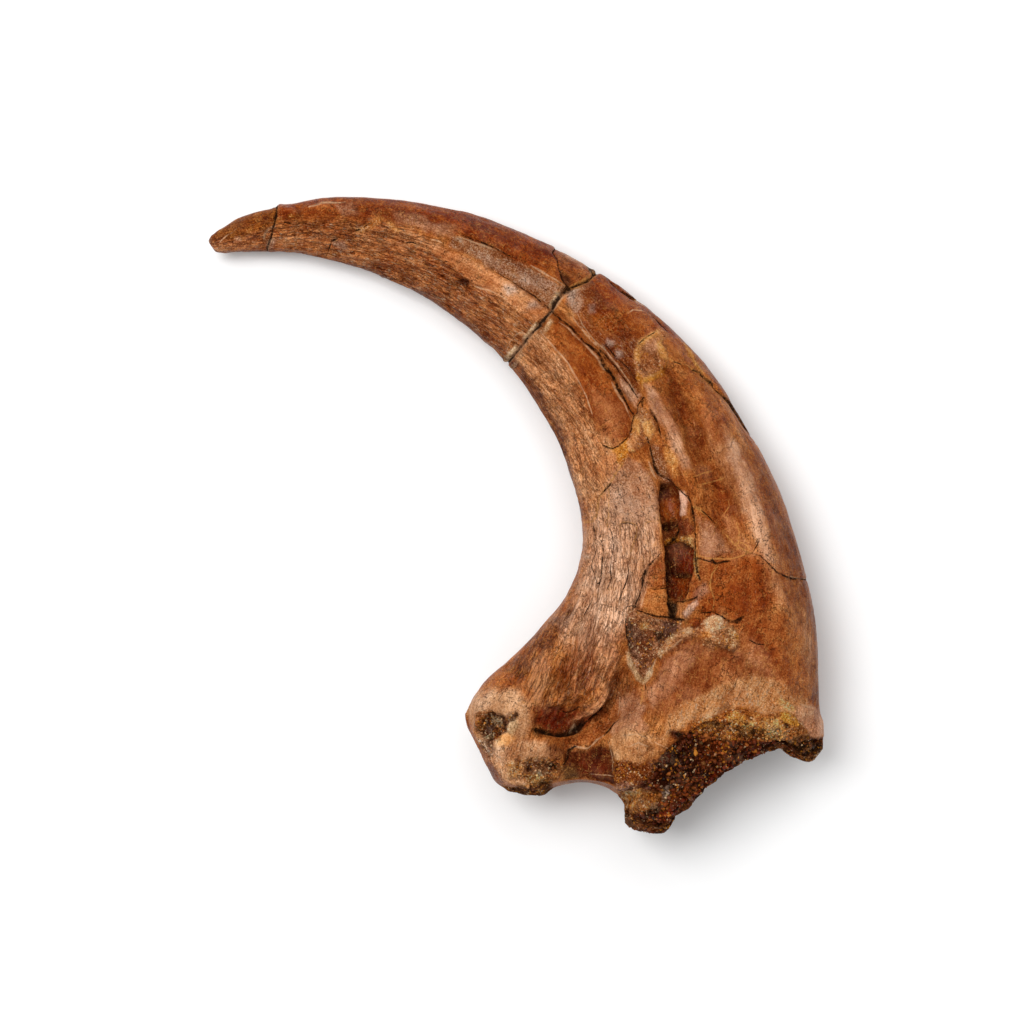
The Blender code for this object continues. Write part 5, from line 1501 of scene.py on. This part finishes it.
def buildClaw():
    look = clawLook
    surface = clawSurface()
    triangles = surface["triangles"]
    points = fitted(laidDown(surface["points"]))
    normals = pointNormals(points, triangles)
    grain = grainCoordinates(surface)
    print("claw surface:", len(points), "points,", len(triangles), "triangles")

    xy = onSheet(points)
    size, layers, fade, seeds = look["wander"]
    wander = np.stack([layeredNoise(points, size, layers, seed, fade) for seed in seeds], axis=1)
    toTop = smoothStep(normals[:, 2], *look["topFrom"]) * (surface["facePart"] == 0)
    tone, texture, height = paintPatches(xy, wander)
    signed, plain, groove = lineDistances(xy, wander, lines)
    underSigned, underPlain, underGroove = lineDistances(xy, wander, underLines)
    isTop = toTop > 0.5
    signed = np.where(isTop[:, None], signed, underSigned)
    plain = np.where(isTop[:, None], plain, underPlain)
    height = (height + drawnRelief(xy, wander) - groove) * toTop - underGroove * (1 - toTop)
    tone = tone * toTop[:, None] + underTone(tone, points) * (1 - toTop[:, None])
    uneven = sum(share * layeredNoise(points, size, 2, seed) for share, size, seed in look["unevenness"])
    tone = tone ** (1 + np.clip(uneven, -0.4, 0.5))[:, None]
    print("drawing:", len(patches), "patches,", len(lines) + len(underLines), "lines")

    fine = fineRelief(points, normals, grain, texture)
    # cavity: the fine relief, less the grooves, that sets the painted shade in the hollows and the painted
    # highlight on the heights
    cavity = np.clip(0.5 + 0.5 * (fine - look["grooveShade"] * groove * toTop) / look["hollowDepth"], 0, 1)
    points = pushed(points, normals, height + fine)
    claw = meshObject("fossilClaw", points, triangles, boneMaterial())
    mesh = claw.data
    fibre, fleck, pore, gloss, matrix, sponge, crumb, _, vein = texture.T
    setColour(mesh, "tone", tone)
    setColour(mesh, "texture", np.stack([fibre, fleck, pore], axis=1))
    setColour(mesh, "surface", np.stack([gloss, matrix, sponge], axis=1))
    setColour(mesh, "relief", np.stack([cavity, crumb, vein], axis=1))
    setVector(mesh, "grain", grain)
    setVector(mesh, "lineSide", signed)
    setVector(mesh, "lineReach", plain)
    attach(claw, "root")
    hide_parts("fossil_claw")
    print("claw finished")
    return points, triangles, normals, tone, texture


# Crumbs: how many, smallest and largest half size in mm where it is spongy and where it is filled, how rare
# the large ones are, how deep they sit, how lumpy and flat they are, and how far a place must face up.
crumbForm = {"count": 3400, "spongy": (0.2, 0.85), "filled": (0.12, 0.4), "rarity": 2.2,
             "fillingShare": 0.9, "sunk": 0.25, "lumps": 0.45, "flatness": 0.5,
             "faceUp": (0.25, 0.65), "clearance": 0.05}
# Tones of the crumbs with their shares, then how much of the own tone counts and how bright a crumb is, at
# least and beyond that.
crumbLook = {"tones": {"hole": 0.34, "pit": 0.22, "sponge": 0.22, "plate": 0.08, "crust": 0.06,
                       "gold": 0.035, "cream": 0.015, "olive": 0.03},
             "ownTone": (0.15, 0.45), "brightness": (0.3, 1.3), "redder": (1.0, 1.15, 1.4),
             "brightest": 0.7, "speckle": (2.4, 3.0, 0.7), "speckleAmount": 0.3,
             "roughness": 0.36, "specular": 0.1,
             "bumpStrength": 0.8, "bumpDistance": 0.0002}


def crumbTemplate():                         # an octahedron with halved edges, its points on a unit ball
    corners = np.array([[1, 0, 0], [-1, 0, 0], [0, 1, 0], [0, -1, 0], [0, 0, 1], [0, 0, -1]], float)
    faces = np.array([[4, 0, 2], [4, 2, 1], [4, 1, 3], [4, 3, 0],
                      [5, 2, 0], [5, 1, 2], [5, 3, 1], [5, 0, 3]])
    edges = np.sort(np.concatenate([faces[:, [0, 1]], faces[:, [1, 2]], faces[:, [2, 0]]]), axis=1)
    unique, where = np.unique(edges, axis=0, return_inverse=True)
    ab, bc, ca = where.reshape(3, -1) + len(corners)
    middles = corners[unique].sum(axis=1)
    points = np.vstack([corners, middles / np.linalg.norm(middles, axis=1, keepdims=True)])
    a, b, c = faces.T
    split = [(a, ab, ca), (ab, b, bc), (ca, bc, c), (ab, bc, ca)]
    return points, np.concatenate([np.stack(f, axis=1) for f in split])


def chances(count, seed):                    # count numbers from 0 to 1
    number = np.arange(count)
    return hashed(np.stack([number, number * 7 + 1, np.full(count, seed)], axis=1), seed)


def crumbMaterial():
    look = crumbLook
    material, tree, shader = newMaterial("brokenCrumbs")
    speckle = noiseOf(inMillimetres(tree), *look["speckle"])
    colour = varied(attributeOf(tree, "tone"), speckle, look["speckleAmount"])
    bump = {"Height": speckle, "Strength": look["bumpStrength"], "Distance": look["bumpDistance"]}
    tree.links.new(colour.socket, shader.inputs["Base Color"])
    tree.links.new(fieldOf(tree, "ShaderNodeBump", bump).socket, shader.inputs["Normal"])
    shader.inputs["Roughness"].default_value = look["roughness"]
    shader.inputs["Specular IOR Level"].default_value = look["specular"]
    return material


def crumbPlaces(points, triangles, normals, texture):
    # a point for each crumb, by chance: area * most of sponge and filling ^ 2, where the bone faces up
    form = crumbForm
    sponge, matrix = (texture[:, textureNames.index(name)] for name in ("sponge", "matrix"))
    a, b, c = (points[triangles[:, k]] for k in range(3))
    area = np.linalg.norm(np.cross(b - a, c - a), axis=1) / 2
    weight = area * np.maximum(sponge, form["fillingShare"] * matrix)[triangles].mean(axis=1) ** 2
    weight *= smoothStep(normals[triangles[:, 0], 2], *form["faceUp"])
    chosen = np.searchsorted(np.cumsum(weight) / weight.sum(), chances(form["count"], 101))
    at = triangles[np.clip(chosen, 0, len(triangles) - 1), 0]
    return at, sponge[at] > matrix[at]


def crumbShapes(size, ball):
    # turned(unit ball * three half sizes * (1 + lumps * chance)); the turn is made of three angles
    form = crumbForm
    count = len(size)
    thirds = np.stack([chances(count, seed) for seed in (103, 104, 105)], axis=1)
    halves = size[:, None] * (1 - form["flatness"] * thirds)
    lumps = np.stack([2 * chances(count, 110 + k) - 1 for k in range(len(ball))], axis=1)
    shape = ball[None] * halves[:, None, :] * (1 + form["lumps"] * lumps)[..., None]
    for seed, (i, j) in zip((106, 107, 108), ((0, 1), (1, 2), (0, 2))):
        angle = 2 * np.pi * chances(count, seed)[:, None]
        first, second = shape[..., i].copy(), shape[..., j].copy()
        shape[..., i] = first * np.cos(angle) - second * np.sin(angle)
        shape[..., j] = first * np.sin(angle) + second * np.cos(angle)
    return shape


def crumbColours(under):                     # a tone by chance, mixed with the tone under it, made uneven
    look = crumbLook
    count = len(under)
    palette = np.array([linear(tones[name]) for name in look["tones"]])
    limits = np.round(np.cumsum(list(look["tones"].values())), 6)
    own = palette[np.searchsorted(limits, chances(count, 109))]
    least, more = look["ownTone"]
    share = (least + more * chances(count, 111))[:, None]
    least, more = look["brightness"]
    bright = (least + more * chances(count, 112))[:, None] ** look["redder"]
    return np.minimum(own * share + under * bright * (1 - share), look["brightest"])


def buildCrumbs(points, triangles, normals, tone, texture):
    form = crumbForm
    count = form["count"]
    at, isSpongy = crumbPlaces(points, triangles, normals, texture)
    least, most = np.where(isSpongy[:, None], form["spongy"], form["filled"]).T
    size = least + (most - least) * chances(count, 102) ** form["rarity"]
    ball, faces = crumbTemplate()
    place = points[at] - normals[at] * (size * form["sunk"])[:, None]
    crumbs = (place[:, None, :] + crumbShapes(size, ball)).reshape(-1, 3)
    low, high = (np.array(corner) / mm for corner in cadBounds)
    crumbs = np.clip(crumbs, low + form["clearance"], high - form["clearance"])
    faces = (faces[None] + len(ball) * np.arange(count)[:, None, None]).reshape(-1, 3)
    piece = meshObject("brokenCrumbs", crumbs, faces, crumbMaterial())
    setColour(piece.data, "tone", np.repeat(crumbColours(tone[at]), len(ball), axis=0))
    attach(piece, "root")
    print("crumbs:", count, "with", len(faces), "triangles")


buildCrumbs(*buildClaw())


# Floor, light and camera.
studio = {
    "floorSize": 6.0, "floorTone": 0.93, "floorRoughness": 0.9, "floorSpecular": 0.1, "worldTone": 0.42,
    # power in watts, size in metres, azimuth and elevation in degrees, distance in metres
    "lamps": {"keyLight": (10.6, 0.6, 150.0, 67.0, 1.3), "farFill": (5.0, 0.9, 84.0, 62.0, 1.3),
              "nearFill": (1.3, 1.0, 250.0, 48.0, 1.3)},
}
# lens and sensor in mm, then metres: width of the frame, height of the level it is measured at, place
view = {"lens": 100.0, "sensor": 36.0, "frameWidth": 0.256, "level": 0.018, "x": -0.00028, "y": -0.00001}


def addFloor():                              # one square, and the material is plain and pale
    half = studio["floorSize"] / 2
    corners = np.array([[-half, -half, 0], [half, -half, 0], [half, half, 0], [-half, half, 0]])
    material, _, shader = newMaterial("paleFloor")
    shader.inputs["Base Color"].default_value = (*[studio["floorTone"]] * 3, 1)
    shader.inputs["Roughness"].default_value = studio["floorRoughness"]
    shader.inputs["Specular IOR Level"].default_value = studio["floorSpecular"]
    mesh = bpy.data.meshes.new("floor")
    mesh.from_pydata(corners.tolist(), [], [(0, 1, 2, 3)])
    mesh.materials.append(material)
    floor = bpy.data.objects.new("floor", mesh)
    bpy.context.collection.objects.link(floor)


def addAreaLight(name, power, size, azimuth, elevation, distance):
    # stands at distance * (cos e cos a, cos e sin a, sin e) and looks at the claw
    a, e = np.radians(azimuth), np.radians(elevation)
    light = bpy.data.lights.new(name, "AREA")
    light.energy, light.size = power, size
    lamp = bpy.data.objects.new(name, light)
    lamp.location = distance * np.array([np.cos(e) * np.cos(a), np.cos(e) * np.sin(a), np.sin(e)])
    lamp.rotation_euler = (np.pi / 2 - e, 0, a + np.pi / 2)
    bpy.context.collection.objects.link(lamp)


def addCamera():                             # straight down: rise = lens / sensor * width of the frame
    lens = bpy.data.cameras.new("camera")
    lens.lens, lens.sensor_width = view["lens"], view["sensor"]
    camera = bpy.data.objects.new("camera", lens)
    rise = view["lens"] / view["sensor"] * view["frameWidth"]
    camera.location = (view["x"], view["y"], view["level"] + rise)
    bpy.context.collection.objects.link(camera)
    bpy.context.scene.camera = camera


def addWorld():
    world = bpy.data.worlds.new("world")
    world.use_nodes = True
    world.node_tree.nodes["Background"].inputs["Color"].default_value = (*[studio["worldTone"]] * 3, 1)
    bpy.context.scene.world = world
    bpy.context.scene.view_settings.view_transform = "Standard"


addFloor()
for lampName, lampValues in studio["lamps"].items():
    addAreaLight(lampName, *lampValues)
addWorld()
addCamera()
print("floor, light and camera")
